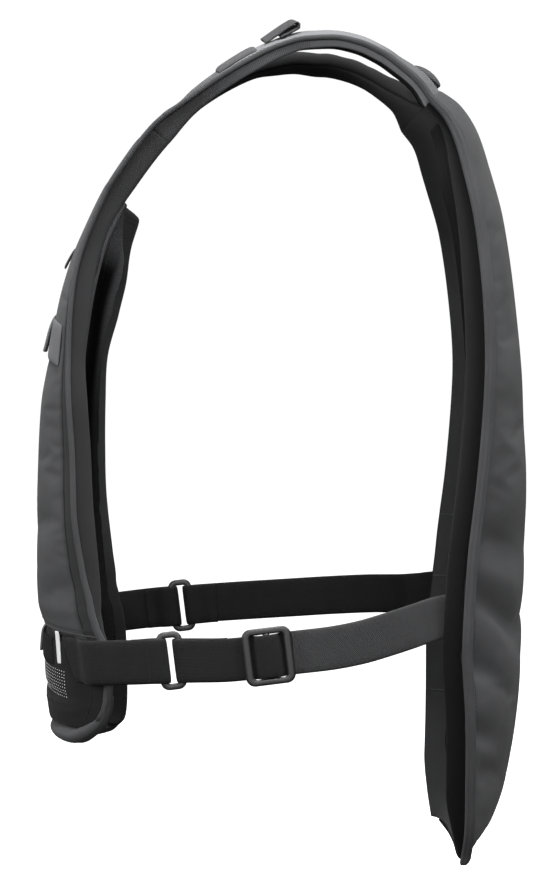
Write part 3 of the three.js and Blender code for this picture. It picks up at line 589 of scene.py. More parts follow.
def strap_dark_cloth_and_painted_shade(points, column):
    """A dark neck edge and inner face, and a cover darkened toward the chest and the nape as painted
    shade, which leaves painted light on the top of the shoulder.
    """
    # Painted shade toward the chest, most near the arm edge.
    chest = np.clip((-40 - points[..., 0]) / 70, 0, 0.82) * np.interp(column, (16, 28), (0.72, 1))
    # A share of at least 0.22 all over the cover, growing toward the nape as painted shade.
    nape = np.clip((points[..., 0] - 30) / 50, 0.22, 0.55) * (column < FACE_COLUMNS)
    return np.maximum((column >= INNER_COLUMN) | (column < NECK_EDGE_COLUMNS), np.maximum(nape, chest))


straps = {side: padded_piece(
    f"padded_shoulder_{word}", f"shoulder_{word}", (FRONT_TOP - 3.2, BACK_NECK + 3.6), 5, (side,), [],
    strap_cloth_painted_light, strap_dark_cloth_and_painted_shade, ((0,), (0.8,))) for side, word in SIDES.items()}

# The linings
# Thin dark pads of spacer mesh laid on the inner faces, clear of the rims, with a rolled edge
# and sewn channels along them. A paler mix on them carries painted highlight on the chest pads'
# edges and at the back pad's neck end.
GAP, LINING_THICK = 0.4, 3


def mesh_look(name, pale, dark, pitch, pale_mix_and_painted_highlight):
    """Spacer mesh: small open cells in staggered rows, mixed toward a paler colour by a named value
    on the points, which carries painted highlight.
    """
    material, look = new_look(name)
    cells = look.node("ShaderNodeTexVoronoi", {"feature": "F1"}, {
        "Vector": look.node("ShaderNodeUVMap", {"uv_map": "weave"}, out="UV"),
        "Scale": 1 / (pitch * MM), "Randomness": 0.25}, "Distance")
    holes = look.node("ShaderNodeMapRange", {}, {
        "Value": cells, "From Min": 0.2, "From Max": 0.5, "To Min": 0.0, "To Max": 1.0})
    patches = noise(look, 30.0)
    colour = (holes * 0.7 + patches * 0.4).clamp().mix(grey(dark), grey(pale))
    # The named share of the paler colour: painted highlight, and on the back pad also its own lighter tone.
    edge = look.node("ShaderNodeAttribute", {"attribute_name": "pale_mix_and_painted_highlight"}, out="Fac")
    finish_look(look, {
        "Specular IOR Level": 0.0,
        "Base Color": edge.mix(colour, holes.mix(*map(grey, pale_mix_and_painted_highlight))),
        "Roughness": 0.9 + (patches - 0.5) * 0.1, "Normal": holes.bump(0.5, 0.5 * MM)})
    return material


lining_mesh = mesh_look("lining_mesh", 20, 8, 2.2, (92, 76))


def lining(name, node, start, end, halves, shares):
    """A thin pad on the inner face: its wearer's side swells between the sewn channels."""
    chest = len(halves) == 1
    places, squeeze = stations(start, end, 6)
    at = sections(places)
    lie = np.linspace(0, 1, 30)
    # Painted highlight on the chest pads, along the edge by the arm and across the top end, where light from
    # above catches the rolled edge.
    selvedge = np.clip((np.concatenate([lie, lie[::-1]]) - 0.88) / 0.06, 0, 1)
    top = np.clip(2 - (end - places) / 30, 0, 1)[:, None]
    # The back pad is mixed 0.2 toward its paler colour all over, its own lighter tone, and up to 0.35 at the
    # neck end as painted highlight.
    nape = 0.2 + 0.15 * np.clip(1.6 - (places - start) / 50, 0, 1)[:, None]
    near_end = np.maximum(1 - (places - start) / (20 if chest else 50), 1 - (end - places) / 50)[:, None]
    across = shares[0] + (shares[1] - shares[0]) * lie * (1 - 0.4 * np.clip(near_end, 0, 1) ** 2)
    flattened = np.abs(2 * lie - 1) ** 14 if chest else lie ** 20
    rolled = np.clip(1 - flattened, 0, 1) ** 0.5
    swell = LINING_THICK * (0.4 + 0.8 * np.abs(np.cos(lie * math.pi * 3))) * rolled * squeeze[:, None]
    loops, pale_mix_and_painted_highlight = [], []
    for side in halves:
        w = at["neck"] + (at["arm"] - RIM - at["neck"]) * across
        bed = inner_depth(at, side, w) + GAP
        facing = on_vest(at, side, w, bed + swell + 0.3)[:, ::-1]
        loop = np.concatenate([on_vest(at, side, w, bed), facing], axis=1)
        # The chest pads' painted highlight fades to a fifth of its strength lower down.
        high = np.clip((loop[..., 2] + 330) / 170, 0.2, 1)
        loops.append(loop)
        pale_mix_and_painted_highlight.append(np.maximum(selvedge, top) * high if chest else np.broadcast_to(nape, high.shape))
    pad = joined(name, loops, places, chest, lining_mesh, {"pale_mix_and_painted_highlight": pale_mix_and_painted_highlight})
    smooth(pad)
    join(pad, node)


lining("lining_back", "back_lining", ALONG[30], ALONG[41], (LEFT, RIGHT), (0, 0.88))
for side, word in SIDES.items():
    lining(f"lining_chest_{word}", f"chest_lining_{word}", ALONG[1], ALONG[15], (side,), (0.1, 0.97))

# The edge piping
# A cord wrapped in trim tape, caught in the seam between face and gusset along the whole arm edge,
# from the front hem over the shoulder to the tail. A row of stitches runs beside it on the face.


def loft(name, rings, material):
    """A closed round piece through rings of points, with its ends drawn in."""
    drawn_in = (rings + rings.mean(axis=1, keepdims=True)) / 2
    rings = np.concatenate([drawn_in[:1], rings, drawn_in[-1:]])
    return joined(name, [rings], lengths(rings.mean(axis=1)), True, material)


def ovals(centres, first, second, count=14):
    """Rings round centres, each with its two half axes."""
    turn = np.linspace(0, 2 * math.pi, count, endpoint=False)[None, :, None]
    return centres[:, None] + np.cos(turn) * first[:, None] + np.sin(turn) * second[:, None]


def directions(at, side):
    """Unit vectors away from the middle and into the padding, at each place."""
    lean = np.radians(at["lean"][:, 0])
    zero = np.zeros_like(lean)
    return np.stack([zero, zero + side, zero], axis=1), np.stack([np.cos(lean), zero, -np.sin(lean)], axis=1)


trim_tape = woven_look("trim_tape", 74, 58, 1.1, 0.3, 0.75, 0.05)
PIPING_ROWS = [1, 4, 7, 10, 17, 23, 29, 31, 42]
PIPING = {
    "reach": [4.2, 3.2, 2.4, 2.1, 2.0, 2.2, 3.2, 4.8, 4.2],
    "high": [3.2, 2.6, 2.2, 2.0, 1.9, 1.9, 2.0, 2.3, 2.2],
    "groove": [0.5, 0.4, 0.2, 0, 0, 0, 0.4, 1, 1],
    "inset": [9, 9, 9, 8, 6, 6, 5, 5, 5],
}
PIPING_SEAT, FLANGE, GROOVES = 1.4, 6, (-0.62, 0.3)
PIPING_TAIL = np.array([-2.0, 0, -5.5])


def stitch_tree():
    """Geometry nodes: short raised threads at an even pitch along drawn lines."""
    tree = bpy.data.node_groups.new("row_of_stitches", "GeometryNodeTree")
    for name, kind in (("Geometry", "NodeSocketGeometry"), ("Pitch", "NodeSocketFloat"),
                       ("Size", "NodeSocketVector"), ("Thread", "NodeSocketMaterial")):
        tree.interface.new_socket(name, in_out="INPUT", socket_type=kind)
    tree.interface.new_socket("Geometry", in_out="OUTPUT", socket_type="NodeSocketGeometry")
    build = Shade(tree)
    given = tree.nodes.new("NodeGroupInput")
    lines, pitch, size, finish = (Shade(tree, given.outputs[i]) for i in range(4))
    line = build.node("GeometryNodeMeshToCurve", {}, {"Mesh": lines})
    line = build.node("GeometryNodeResampleCurve", {"mode": "LENGTH"}, {"Curve": line, "Length": pitch})
    turn = build.node("FunctionNodeAlignRotationToVector", {"axis": "X"}, {
        "Vector": build.node("GeometryNodeInputTangent")})
    out = build.node("GeometryNodeInputNamedAttribute", {"data_type": "FLOAT_VECTOR"}, {
        "Name": "out"}, "Attribute")
    turn = build.node("FunctionNodeAlignRotationToVector", {"axis": "Z", "pivot_axis": "X"}, {
        "Rotation": turn, "Vector": out})
    thread = build.node("GeometryNodeMeshUVSphere", {}, {"Segments": 6, "Rings": 4, "Radius": 0.5})
    threads = build.node("GeometryNodeInstanceOnPoints", {}, {
        "Points": line, "Instance": thread, "Rotation": turn, "Scale": size})
    solid = build.node("GeometryNodeRealizeInstances", {}, {"Geometry": threads})
    solid = build.node("GeometryNodeSetMaterial", {}, {"Geometry": solid, "Material": finish})
    build.node("NodeGroupOutput", {}, {"Geometry": solid})
    return tree


STITCHES = stitch_tree()


def with_nodes(piece, tree, inputs):
    """Runs a geometry tree on a piece and keeps its result as a plain mesh."""
    run = piece.modifiers.new("pattern", "NODES")
    run.node_group = tree
    for item in tree.interface.items_tree:
        if item.in_out == "INPUT" and item.name in inputs:
            run[item.identifier] = inputs[item.name]
    keep_result(piece)
    piece.data.polygons.foreach_set("use_smooth", np.ones(len(piece.data.polygons), dtype=bool))


def surface(*pieces):
    """A search tree over the finished skins of pieces."""
    points, faces = [], []
    for piece in pieces:
        start = len(points)
        points += [v.co.copy() for v in piece.data.vertices]
        faces += [[start + i for i in p.vertices] for p in piece.data.polygons]
    return BVHTree.FromPolygons(points, faces)


def sew(name, skin, lines, thread, pitch=3.4, size=(2.5, 0.7, 0.5)):
    """Stitches along lines (mm), laid down on a skin."""
    points, out, edges = [], [], []
    for line in lines:
        start = len(points)
        for point in line:
            spot, normal, _, _ = skin.find_nearest(Vector(point) * MM)
            points.append(spot + normal * 0.05 * MM)
            out.append(normal)
        edges += [(i, i + 1) for i in range(start, len(points) - 1)]
    mesh = bpy.data.meshes.new(name)
    mesh.from_pydata(points, edges, [])
    mesh.attributes.new("out", "FLOAT_VECTOR", "POINT").data.foreach_set("vector", np.array(out).ravel())
    piece = bpy.data.objects.new(name, mesh)
    scene.collection.objects.link(piece)
    with_nodes(piece, STITCHES, {"Pitch": pitch * MM, "Size": [s * MM for s in size], "Thread": thread})
    join(piece)


def thread_look(name, pale, dark):
    """Spun thread: two plies wound along its length."""
    material, look = new_look(name)
    plies = look.node("ShaderNodeTexWave", {"bands_direction": "DIAGONAL"}, {
        "Vector": look.node("ShaderNodeTexCoord", out="Object"), "Scale": 900.0, "Distortion": 1.0}, "Fac")
    finish_look(look, {
        "Specular IOR Level": 0.2,
        "Base Color": plies.mix(grey(dark), grey(pale)), "Roughness": 0.6 + plies * 0.1,
        "Normal": plies.bump(0.3, 0.1 * MM)})
    return material


grey_thread = thread_look("grey_thread", 92, 70)
dark_thread = thread_look("dark_thread", 34, 22)
for side, word in SIDES.items():
    places = np.append(np.arange(ALONG[1], ALONG[-1] - 2, 5.0), ALONG[-1])
    at = sections(places)
    outward, deep = directions(at, side)
    centres = on_vest(at, side, at["arm"] + PIPING_SEAT, at["drop"])[:, 0]
    reach, high, groove, inset = (
        np.interp(places, ALONG[PIPING_ROWS], knots)[:, None] for knots in PIPING.values())
    turn = np.linspace(0, 2 * math.pi, 32, endpoint=False)
    lie, rise = np.cos(turn), np.sign(np.sin(turn)) * np.abs(np.sin(turn)) ** 0.7
    sunk = groove * 0.45 * sum(np.exp(-((lie - middle) / 0.1) ** 2) for middle in GROOVES) * (rise > 0)
    rings = (centres[:, None] + deep[:, None] * (lie * reach)[..., None]
             + outward[:, None] * (rise * (high * (1 - sunk) + FLANGE * (rise < 0)))[..., None])
    last = rings[-1].mean(axis=0)
    tip = [last + PIPING_TAIL * fall + (rings[-1] - last) * size for fall, size in ((0.6, 0.9), (1, 0.55))]
    cord = loft(f"arm_piping_{word}", np.concatenate([rings, tip]), trim_tape)
    join(cord, f"edge_piping_{word}")
    skin = surface(back, fronts[side], straps[side])
    inset = at["arm"] - inset
    on_face = on_vest(at, side, inset, outer_depth(at, inset))[:, 0]
    on_front = places < ALONG[16]
    sew(f"front_edge_seam_{word}", skin, [on_face[on_front]], dark_thread, 1.5, (2.2, 1.5, 0.5))
    sew(f"piping_stitches_{word}", skin, [on_face[~on_front]], dark_thread)

# The neck binding
# A folded tape that closes the cut edge of the padding up the front opening and round the neck,
# where the two lengths meet at the middle of the back.
dark_tape = woven_look("dark_tape", 24, 15, 1.1, 0.3, 0.8, 0.02)
NECK_TAPE = {"out": 2.6, "half": 2.4, "overlap": 4}
for side, word in SIDES.items():
    places = np.concatenate([np.arange(0, ALONG[16], 6.0), np.arange(FRONT_TOP, BACK_NECK, 4.0), [BACK_NECK]])
    at = sections(places)
    _, deep = directions(at, side)
    path = on_vest(at, side, at["neck"], (at["neck_drop"] + at["thick"]) / 2)[:, 0]
    out = unit(np.cross(deep, np.gradient(path, axis=0)) * side)
    out[-1] = (-deep[-1][2], 0, deep[-1][0])
    half = (at["thick"] - at["neck_drop"]) / 2
    path = np.concatenate([path, path[-1:] - [[0, side * NECK_TAPE["overlap"], 0]]])
    out, deep, half = (np.concatenate([rows, rows[-1:]]) for rows in (out, deep, half))
    rings = ovals(path + out * NECK_TAPE["out"], out * NECK_TAPE["half"], deep * half, 16)
    tape = loft(f"neck_tape_{word}", rings, dark_tape)
    smooth(tape)
    join(tape, f"neck_binding_{word}")

# The seams and ribbed tapes
# Sewn lines across the covers: the folded waist seam of each front, the cross seams on the back's
# turned-in sides, the stitched top of each front's rim, and ribbed tape on the shoulder gussets.
FRONT_HEIGHTS = np.linspace(0, FRONT_TOP, 800)
FRONT_Z = sections(FRONT_HEIGHTS)["z"][:, 0]


def front_skin(side, w, z, proud):
    """Points of a front's outer face at given heights, raised a little."""
    at = sections(np.interp(np.ravel(z), FRONT_Z, FRONT_HEIGHTS))
    w = np.ravel(w)[:, None]
    return on_vest(at, side, w, outer_depth(at, np.maximum(w, at["neck"])) - proud)[:, 0]


pale_thread = thread_look("pale_thread", 86, 70)
BACK_PLACES = np.linspace(BACK_NECK, ALONG[-1], 800)
BACK_FALL = -sections(BACK_PLACES)["z"][:, 0]
WAIST_FOLD = {"from": 12, "to": 127, "above": 2.4, "stitches_above": 6.5}
POUCH_SEAM = {"from": 30, "to": 96, "z": -531.0}
CROSS_SEAMS, RIM_SEAMS, SEAM_REACH = (393, 448, 550), (5, 9), 40
RIBS = {"from": ALONG[18] + 14, "to": ALONG[22] + 2, "pitch": 1.7, "share": (0.12, 0.95)}
for side, word in SIDES.items():
    w = np.linspace(WAIST_FOLD["from"], WAIST_FOLD["to"], 80)
    seam = WAIST_SEAM["z"] + WAIST_SEAM["slope"] * (w - WAIST_SEAM["w"])
    skin = surface(fronts[side])
    fold = front_skin(side, w, seam + WAIST_FOLD["above"], 0)
    sew(f"waist_fold_{word}", skin, [fold], grey_thread, 1.3, (2.2, 1.5, 1.0))
    beside = front_skin(side, w, seam + WAIST_FOLD["stitches_above"], 0)
    sew(f"waist_stitches_{word}", skin, [beside], dark_thread)
    w = np.linspace(POUCH_SEAM["from"], POUCH_SEAM["to"], 40)
    sew(f"pouch_stitches_{word}", skin, [front_skin(side, w, np.full(40, POUCH_SEAM["z"]), 0)], dark_thread)
    at = sections(ALONG[15] - np.array(RIM_SEAMS))
    w = at["arm"] - RIM - np.linspace(0.5, SEAM_REACH, 20)[None, :]
    sew(f"rim_top_stitches_{word}", skin, list(on_vest(at, side, w, inner_depth(at, side, w))), dark_thread)
    at = sections(np.interp(CROSS_SEAMS, BACK_FALL, BACK_PLACES))
    w = at["arm"] - RIM - np.linspace(0.2, SEAM_REACH, 24)[None, :]
    sew(f"back_cross_seams_{word}", surface(back), list(on_vest(at, side, w, inner_depth(at, side, w))),
        grey_thread, 1.6, (2.0, 1.1, 0.9))
    at = sections(np.arange(RIBS["from"], RIBS["to"], RIBS["pitch"]))
    share = np.linspace(*RIBS["share"], 8)[None, :]
    ribs = on_vest(at, side, at["arm"] - share, at["drop"] + (rim_depth(at, side) - at["drop"]) * share)
    sew(f"shoulder_ribs_{word}", surface(straps[side]), list(ribs), pale_thread, 1.1, (1.3, 0.7, 0.4))

# The hem rolls
# Rolled hems: a foam cord wrapped in trim tape under the fronts and in dark tape under the tail.
# On the fronts the roll is thick, turns up round the side corner and thins into the piping.


def hem_roll(name, path, half_deep, half_tall, material):
    """A soft roll along a path, with its own half sizes into the padding and across."""
    along = unit(np.gradient(path, axis=0))
    deep = unit(np.array([[1.0, 0, 0]]) - along * along[:, :1])
    tall = np.cross(along, deep)
    turn = np.linspace(0, 2 * math.pi, 26, endpoint=False)
    crease = 1 - 0.12 * sum(np.exp(-((turn - middle * math.pi) / 0.16) ** 2) for middle in (0.5, 1.5))
    rings = (path[:, None] + deep[:, None] * (np.cos(turn) * crease)[None, :, None] * half_deep[:, None, None]
             + tall[:, None] * (np.sin(turn) * crease)[None, :, None] * half_tall[:, None, None])
    return loft(name, rings, material)


def smooth_path(points, step):
    """Points at an even step on a smooth line through the given ones."""
    points = np.asarray(points, float)
    knots = lengths(points)
    return smooth_through(knots, points, np.linspace(0, knots[-1], max(4, round(knots[-1] / step))))


def hem_path(at, side, shares, low):
    w = at["neck"] + (at["arm"] - at["neck"]) * shares
    middle = (inner_depth(at, side, np.minimum(w, at["arm"] - RIM)) + outer_depth(at, w)) / 2
    return on_vest(at, side, w, middle)[0] - np.outer(np.broadcast_to(low, w.size), [0, 0, 1])


TAIL_HEM = {"reach": 0.88, "low": 1.6, "deep": (7.4, 4), "tall": (3.0, 1.2)}
tail = sections([ALONG[-1]])
shares = np.linspace(0, TAIL_HEM["reach"], 30)
path = np.concatenate([hem_path(tail, LEFT, shares[1:], TAIL_HEM["low"])[::-1],
                       hem_path(tail, RIGHT, shares, TAIL_HEM["low"])])
ends = np.abs(np.linspace(-1, 1, len(path))) ** 6
half_deep, half_tall = (full - less * ends for full, less in (TAIL_HEM["deep"], TAIL_HEM["tall"]))
join(hem_roll("tail_hem", path, half_deep, half_tall, dark_tape), "back_hem")
FRONT_HEM = {
    "from": 0.02, "to": 0.86, "low": (2.4, 7.0), "proud": [[0.2], [0.6], [0.8], [0.8], [0.8]],
    "share": [0, 0.05, 0.3, 0.55, 0.66, 0.76, 0.88, 1],
    "deep": [10.4, 11.2, 11.8, 10, 8, 6, 4.6, 3.4],
    "tall": [6, 6.4, 6.8, 6.6, 6, 5.2, 4.2, 3],
}
for side, word in SIDES.items():
    foot = hem_path(sections([0.0]), side, np.linspace(FRONT_HEM["from"], FRONT_HEM["to"], 10),
                    np.linspace(*FRONT_HEM["low"], 10))
    climb = sections([ALONG[0] + 2, ALONG[1] - 2, ALONG[1] + 3, ALONG[2] - 3, ALONG[2] + 6])
    corner = on_vest(climb, side, climb["arm"] + np.array(FRONT_HEM["proud"]),
                     climb["drop"] + 0.4 * climb["band"])[:, 0]
    path = smooth_path(np.concatenate([foot, corner]), 2.5)
    half_deep, half_tall = (np.interp(np.linspace(0, 1, len(path)), FRONT_HEM["share"], FRONT_HEM[key])
                            for key in ("deep", "tall"))
    hem = hem_roll(f"front_hem_roll_{word}", path, half_deep, half_tall, trim_tape)
    smooth(hem)
    join(hem, f"front_hem_{word}")

# The shoulder patches and their pull loops
# A flat closing patch of the shell cloth on each shoulder, sewn round its edge, with a loop of
# narrow webbing folded over at its free end to pull it open.
VEST_MIDDLE = np.array([-30.0, 0.0, -300.0])


def pressed(count):
    """How far a flat piece rises across its width, from edge to edge."""
    return np.clip(1 - np.abs(np.linspace(-1, 1, count)) ** 10, 0, 1) ** 0.5


def plate(name, node, base, thick, material):
    """A sewn-on flat piece over a grid of base points, its edges pressed down."""
    normal = unit(np.cross(np.gradient(base, axis=0), np.gradient(base, axis=1)))
    normal *= np.sign((normal * (base - VEST_MIDDLE)).sum(axis=2, keepdims=True))
    rows, columns = base.shape[:2]
    rise = thick * pressed(columns)[None, :, None] * pressed(rows)[:, None, None]
    top, under = base + normal * (GAP + 0.2 + rise), base + normal * GAP
    loop = np.concatenate([top, under[:, ::-1]], axis=1)
    piece = joined(name, [loop], lengths(base.mean(axis=1)), True, material)
    smooth(piece)
    join(piece, node)
    return piece


def ribbon(name, node, path, across, size, material):
    """Webbing along a path, with rounded selvedges. In its size, slant is how far the first end is cut
    askew, and cup how far the selvedges turn down."""
    along = unit(np.gradient(path, axis=0))
    across = unit(across - along * (along @ across)[:, None])
    normal = np.cross(along, across)
    lie = np.sin(np.linspace(-math.pi / 2, math.pi / 2, 13))
    half = size["thick"] / 2 * np.clip(1 - np.abs(lie) ** 8, 0, 1) ** 0.5 + 0.12
    askew = size.get("slant", 0) * np.clip(1 - np.arange(len(path)) / 12, 0, 1)[:, None] * lie
    turned_down = size.get("cup", 0) * lie ** 2
    centre = (path[:, None] + across[:, None] * (lie * size["width"] / 2)[None, :, None]
              - along[:, None] * askew[..., None] + normal[:, None] * turned_down[None, :, None])
    rise = normal[:, None] * half[None, :, None]
    loop = np.concatenate([centre + rise, (centre - rise)[:, ::-1]], axis=1)
    places = lengths(path)
    piece = joined(name, [loop], places, True, material)
    join(piece, node)
    size["width"] * MM
    return piece


def webbing_look(name, pale, dark, rib, relief):
    """Woven webbing: ribs across its width, crossed by the longer floats of the warp."""
    material, look = new_look(name)
    across, along = weave_axes(look)
    turns = 2 * math.pi / (rib * MM)
    zigzag = look.math("PINGPONG", across, 2.6 * MM)
    ribs = ((along + zigzag * 0.7) * turns).sine()
    floats = (across * turns * 1.6).sine()
    patches, fuzz = noise(look, 45.0), noise(look, 1400.0, 2.0)
    tone = 0.45 + ribs * 0.22 + floats * 0.14 + (patches - 0.5) * 0.7 + (fuzz - 0.5) * 0.5
    height = ribs * 0.6 + floats * 0.4 + (fuzz - 0.5) * 0.5
    finish_look(look, {
        "Specular IOR Level": 0.2, "Sheen Weight": 0.05,
        "Base Color": tone.clamp().mix(grey(dark), grey(pale)), "Roughness": 0.7 + ribs * 0.08,
        "Normal": height.bump(relief, 0.4 * MM)})
    return material


loop_webbing = webbing_look("loop_webbing", 70, 48, 1.8, 0.5)
SHOULDER = ALONG[17:30]
PATCH = {"start": 0.1 * SHOULDER[1] + 0.9 * SHOULDER[2], "end": 0.9 * SHOULDER[3] + 0.1 * SHOULDER[4],
         "near": 75, "far": 112, "thick": 2.2}
LOOP = {"width": 26, "thick": 2.4, "middle": 94, "twist": math.radians(15)}
LOOP_ROUTE = [(-46, 5.8), (-36, 12.8), (-26, 19.3), (-22, 21.2), (-19.4, 20.6), (-18.8, 18.6), (-21, 17),
              (-33.5, 10.6)]
for side, word in SIDES.items():
    at = sections(np.linspace(PATCH["start"], PATCH["end"], 14))
    w = np.linspace(PATCH["near"], PATCH["far"], 18)[None, :]
    flap = plate(f"closing_patch_{word}", f"shoulder_patch_{word}",
                 on_vest(at, side, w, outer_depth(at, w)), PATCH["thick"], shell_cloth)
    lift = sections([SHOULDER[4]])["lift"][0, 0] if side == RIGHT else 0
    route = smooth_path([(x - 0.3 * lift, side * LOOP["middle"], z + lift) for x, z in LOOP_ROUTE], 1.2)
    rise = -math.sin(side * LOOP["twist"])
    turned = np.array([-0.5 * rise, math.cos(LOOP["twist"]), 0.86 * rise])
    ribbon(f"webbing_loop_{word}", f"pull_loop_{word}", route, turned, LOOP, loop_webbing)

# The hanger loop
# A short length of webbing that arches over the middle of the back neckline, sewn down at its
# two ends, to hang the vest by.
HANGER = {"half_span": 30, "x": 91, "z": -17, "clear": 1.0, "rise": 6.5,
          "width": 28, "thick": 2.2, "cup": 3.5}
turn = np.linspace(0, math.pi, 40)[:, None]
route = (np.array([[HANGER["x"], 0, HANGER["z"]]]) - np.array([[0, HANGER["half_span"], 0]]) * np.cos(turn)
         + np.array([[0.6, 0, 0.8]]) * (HANGER["clear"] + HANGER["rise"] * np.sin(turn) ** 0.6))
ribbon("hanger_webbing", "hanger_loop", route, np.array([0.8, 0, -0.6]), HANGER, loop_webbing)

# The closing bands and their flaps
# Flat bands that cross the front opening over both panels, of trim cloth at the chest and of dark
# tape at the waist, each with a short stiff flap hanging on it to open it by.
trim_cloth = woven_look("trim_cloth", 104, 86, 1.4, 0.3, 0.8, 0.05)
BANDS = {
    "chest_band": {"z": -230, "fall": 10, "reach": 116, "tall": 36, "cloth": trim_cloth},
    "waist_band": {"z": -485, "fall": 5, "reach": 90, "tall": 24, "cloth": dark_tape},
}
BAND_THICK, BAND_PROUD = 1.2, 0.9
for name, size in BANDS.items():
    spots = []
    for share in np.linspace(-1, 1, 60):
        z = size["z"] - size["fall"] * share ** 2 + np.linspace(-0.5, 0.5, 10) * size["tall"]
        w = np.full(10, abs(share) * size["reach"])
        spots.append(front_skin(LEFT if share < 0 else RIGHT, w, z, BAND_PROUD))
    spots = np.array(spots)
    band = plate(f"{name}_cloth", name, spots, BAND_THICK, size["cloth"])
    size["tall"] * MM
FLAPS = {
    "chest_tab": {"on": "chest_band", "bends": [(-213.2, -212), (-220.6, -218), (-229.4, -246)],
                  "width": 24, "thick": 2.8},
    "waist_flap": {"on": "waist_band", "bends": [(-225.2, -475), (-231, -481), (-232.9, -499)],
                   "width": 22, "thick": 2.8},
}
for name, size in FLAPS.items():
    route = smooth_path([(x, 0, z) for x, z in size["bends"]], 1.5)
    smooth(ribbon(f"{name}_cloth", name, route, np.array([0.0, 1, 0]), size, trim_cloth))

# The white bars and the tag
# Reflective white bars sewn beside the front ends of the waist tabs, rows of raised dots of the same
# white under the left one, and a thin dark tag on the left neck edge.
white_tape, look = new_look("white_tape")
beads = look.node("ShaderNodeTexVoronoi", {}, {
    "Vector": look.node("ShaderNodeTexCoord", out="Object"), "Scale": 1600.0}, "Distance")
finish_look(look, {
    "Specular IOR Level": 0.6, "Coat Roughness": 0.2,
    "Base Color": beads.mix(grey(236, NEUTRAL), grey(214, NEUTRAL)), "Roughness": 0.3 + beads * 0.25,
    "Normal": beads.bump(0.2, 0.1 * MM)})
BAR = {"from": 92.5, "to": 98, "top": -472, "low": -500, "thick": 1.0}
for side, word in SIDES.items():
    spots = np.array([front_skin(side, np.linspace(BAR["from"], BAR["to"], 8), np.full(8, z), 0)
                      for z in np.linspace(BAR["low"], BAR["top"], 24)])
    plate(f"white_bar_{word}", f"reflective_bar_{word}", spots, BAR["thick"], white_tape)
DOTS = {"from": 47, "to": 100, "top": -502.5, "low": -525.5, "slope": 0.12, "middle": 76,
        "row_pitch": 2.6, "pitch": 3.2, "size": (1.0, 1.0, 0.45)}
w = np.linspace(DOTS["from"], DOTS["to"], 40)
rows = [front_skin(LEFT, w, z - DOTS["slope"] * (w - DOTS["middle"]), 0)
        for z in np.arange(DOTS["top"], DOTS["low"], -DOTS["row_pitch"])]
sew("white_dots", surface(fronts[LEFT]), rows, white_tape, DOTS["pitch"], DOTS["size"])
TAG = {"from": 40, "to": 47, "low": 12.8, "top": 13.45, "lifted": ((0, 0.75, 1), (4.8, 2.6, -0.6)),
       "thick": 1.4}
at = sections(np.interp(np.linspace(TAG["low"], TAG["top"], 14), np.arange(len(ALONG)), ALONG))
w = np.linspace(TAG["from"], TAG["to"], 8)[None, :]
lifted = np.interp(np.linspace(0, 1, 14), *TAG["lifted"])[:, None]
plate("neck_tag", "edge_tag", on_vest(at, LEFT, w, outer_depth(at, w) - lifted), TAG["thick"],
      loop_webbing)

# The tabs and side straps
# Wide webbing at the waist. A short tab is sewn on each front and folded round a ring; an elastic
# strap is folded round the ring's other bar and runs to the inner face of the back.
TAB = {"width": 36, "thick": 2.2, "back": 24, "slant": 7, "sewn": (-179, -139), "half_row": 15.5,
       "outside": 150}
STRAP = {"width": 35, "thick": 1.8, "back": {LEFT: 38, RIGHT: 24}}
RING = {"wide": 21, "tall": 47, "bar": 5.2, "thick": 3.5, "flat": 4, "corner": 7, "w": 142,
        "x": {LEFT: -120.5, RIGHT: -115.5}}
TILT = math.radians(7)
ELASTIC_FROM = -24
BARS = np.array([-math.sin(TILT), 0, math.cos(TILT)])
TAB_ROUTE = np.array([
    [-206.5, 104.8, -494, -488], [-200.5, 111.8, -494, -487.7], [-194.5, 119.2, -493.8, -487.2],
    [-190.5, 135.5, -493.3, -486], [-185, 141.5, -493, -484.5], [-171, 145, -492.5, -482.5],
    [-150, 146, -492, -480], [-137, 146.2, -491.6, -478.6]])
STRAP_ROUTE = np.array([
    [-100, 146.4, -491, -475.5], [-80, 147.2, -490.6, -474.5], [-61, 146.8, -489.2, -473.5],
    [-57.3, 146.8, -488.7, -473.2], [-46.3, 153.4, -487.4, -472.4], [-39.7, 153.4, -486.5, -472],
    [-28.7, 146.8, -485.3, -471.2], [-25, 146.8, -484.8, -471], [6, 147, -481.2, -469],
    [30, 144.5, -477, -467.5], [55, 139, -470.5, -466], [75, 131.5, -465, -465.2],
    [90, 123, -461, -464]])
STRAP_ENDS = {
    LEFT: np.array([[100, 120.4, -459, -463.3], [108, 117.8, -458, -462.5], [115, 114.8, -457.6, -462.2],
                    [119, 112.6, -457.5, -462]]),
    RIGHT: np.array([[100, 123.2, -459, -463.3], [107, 124, -458, -462.5], [113, 124.4, -457.6, -462]])}
HEIGHT_COLUMN = {LEFT: 2, RIGHT: 3}
webbing = webbing_look("webbing", 27, 17, 1.8, 0.35)
elastic = webbing_look("elastic", 62, 48, 1.5, 0.5)


def webbing_height(x, side):
    route = np.concatenate([TAB_ROUTE, STRAP_ROUTE])
    return np.interp(x, route[:, 0], route[:, HEIGHT_COLUMN[side]])


FOLD = {"clear": 0.6, "apart": 0.8, "leaves": 4, "settles": 6}


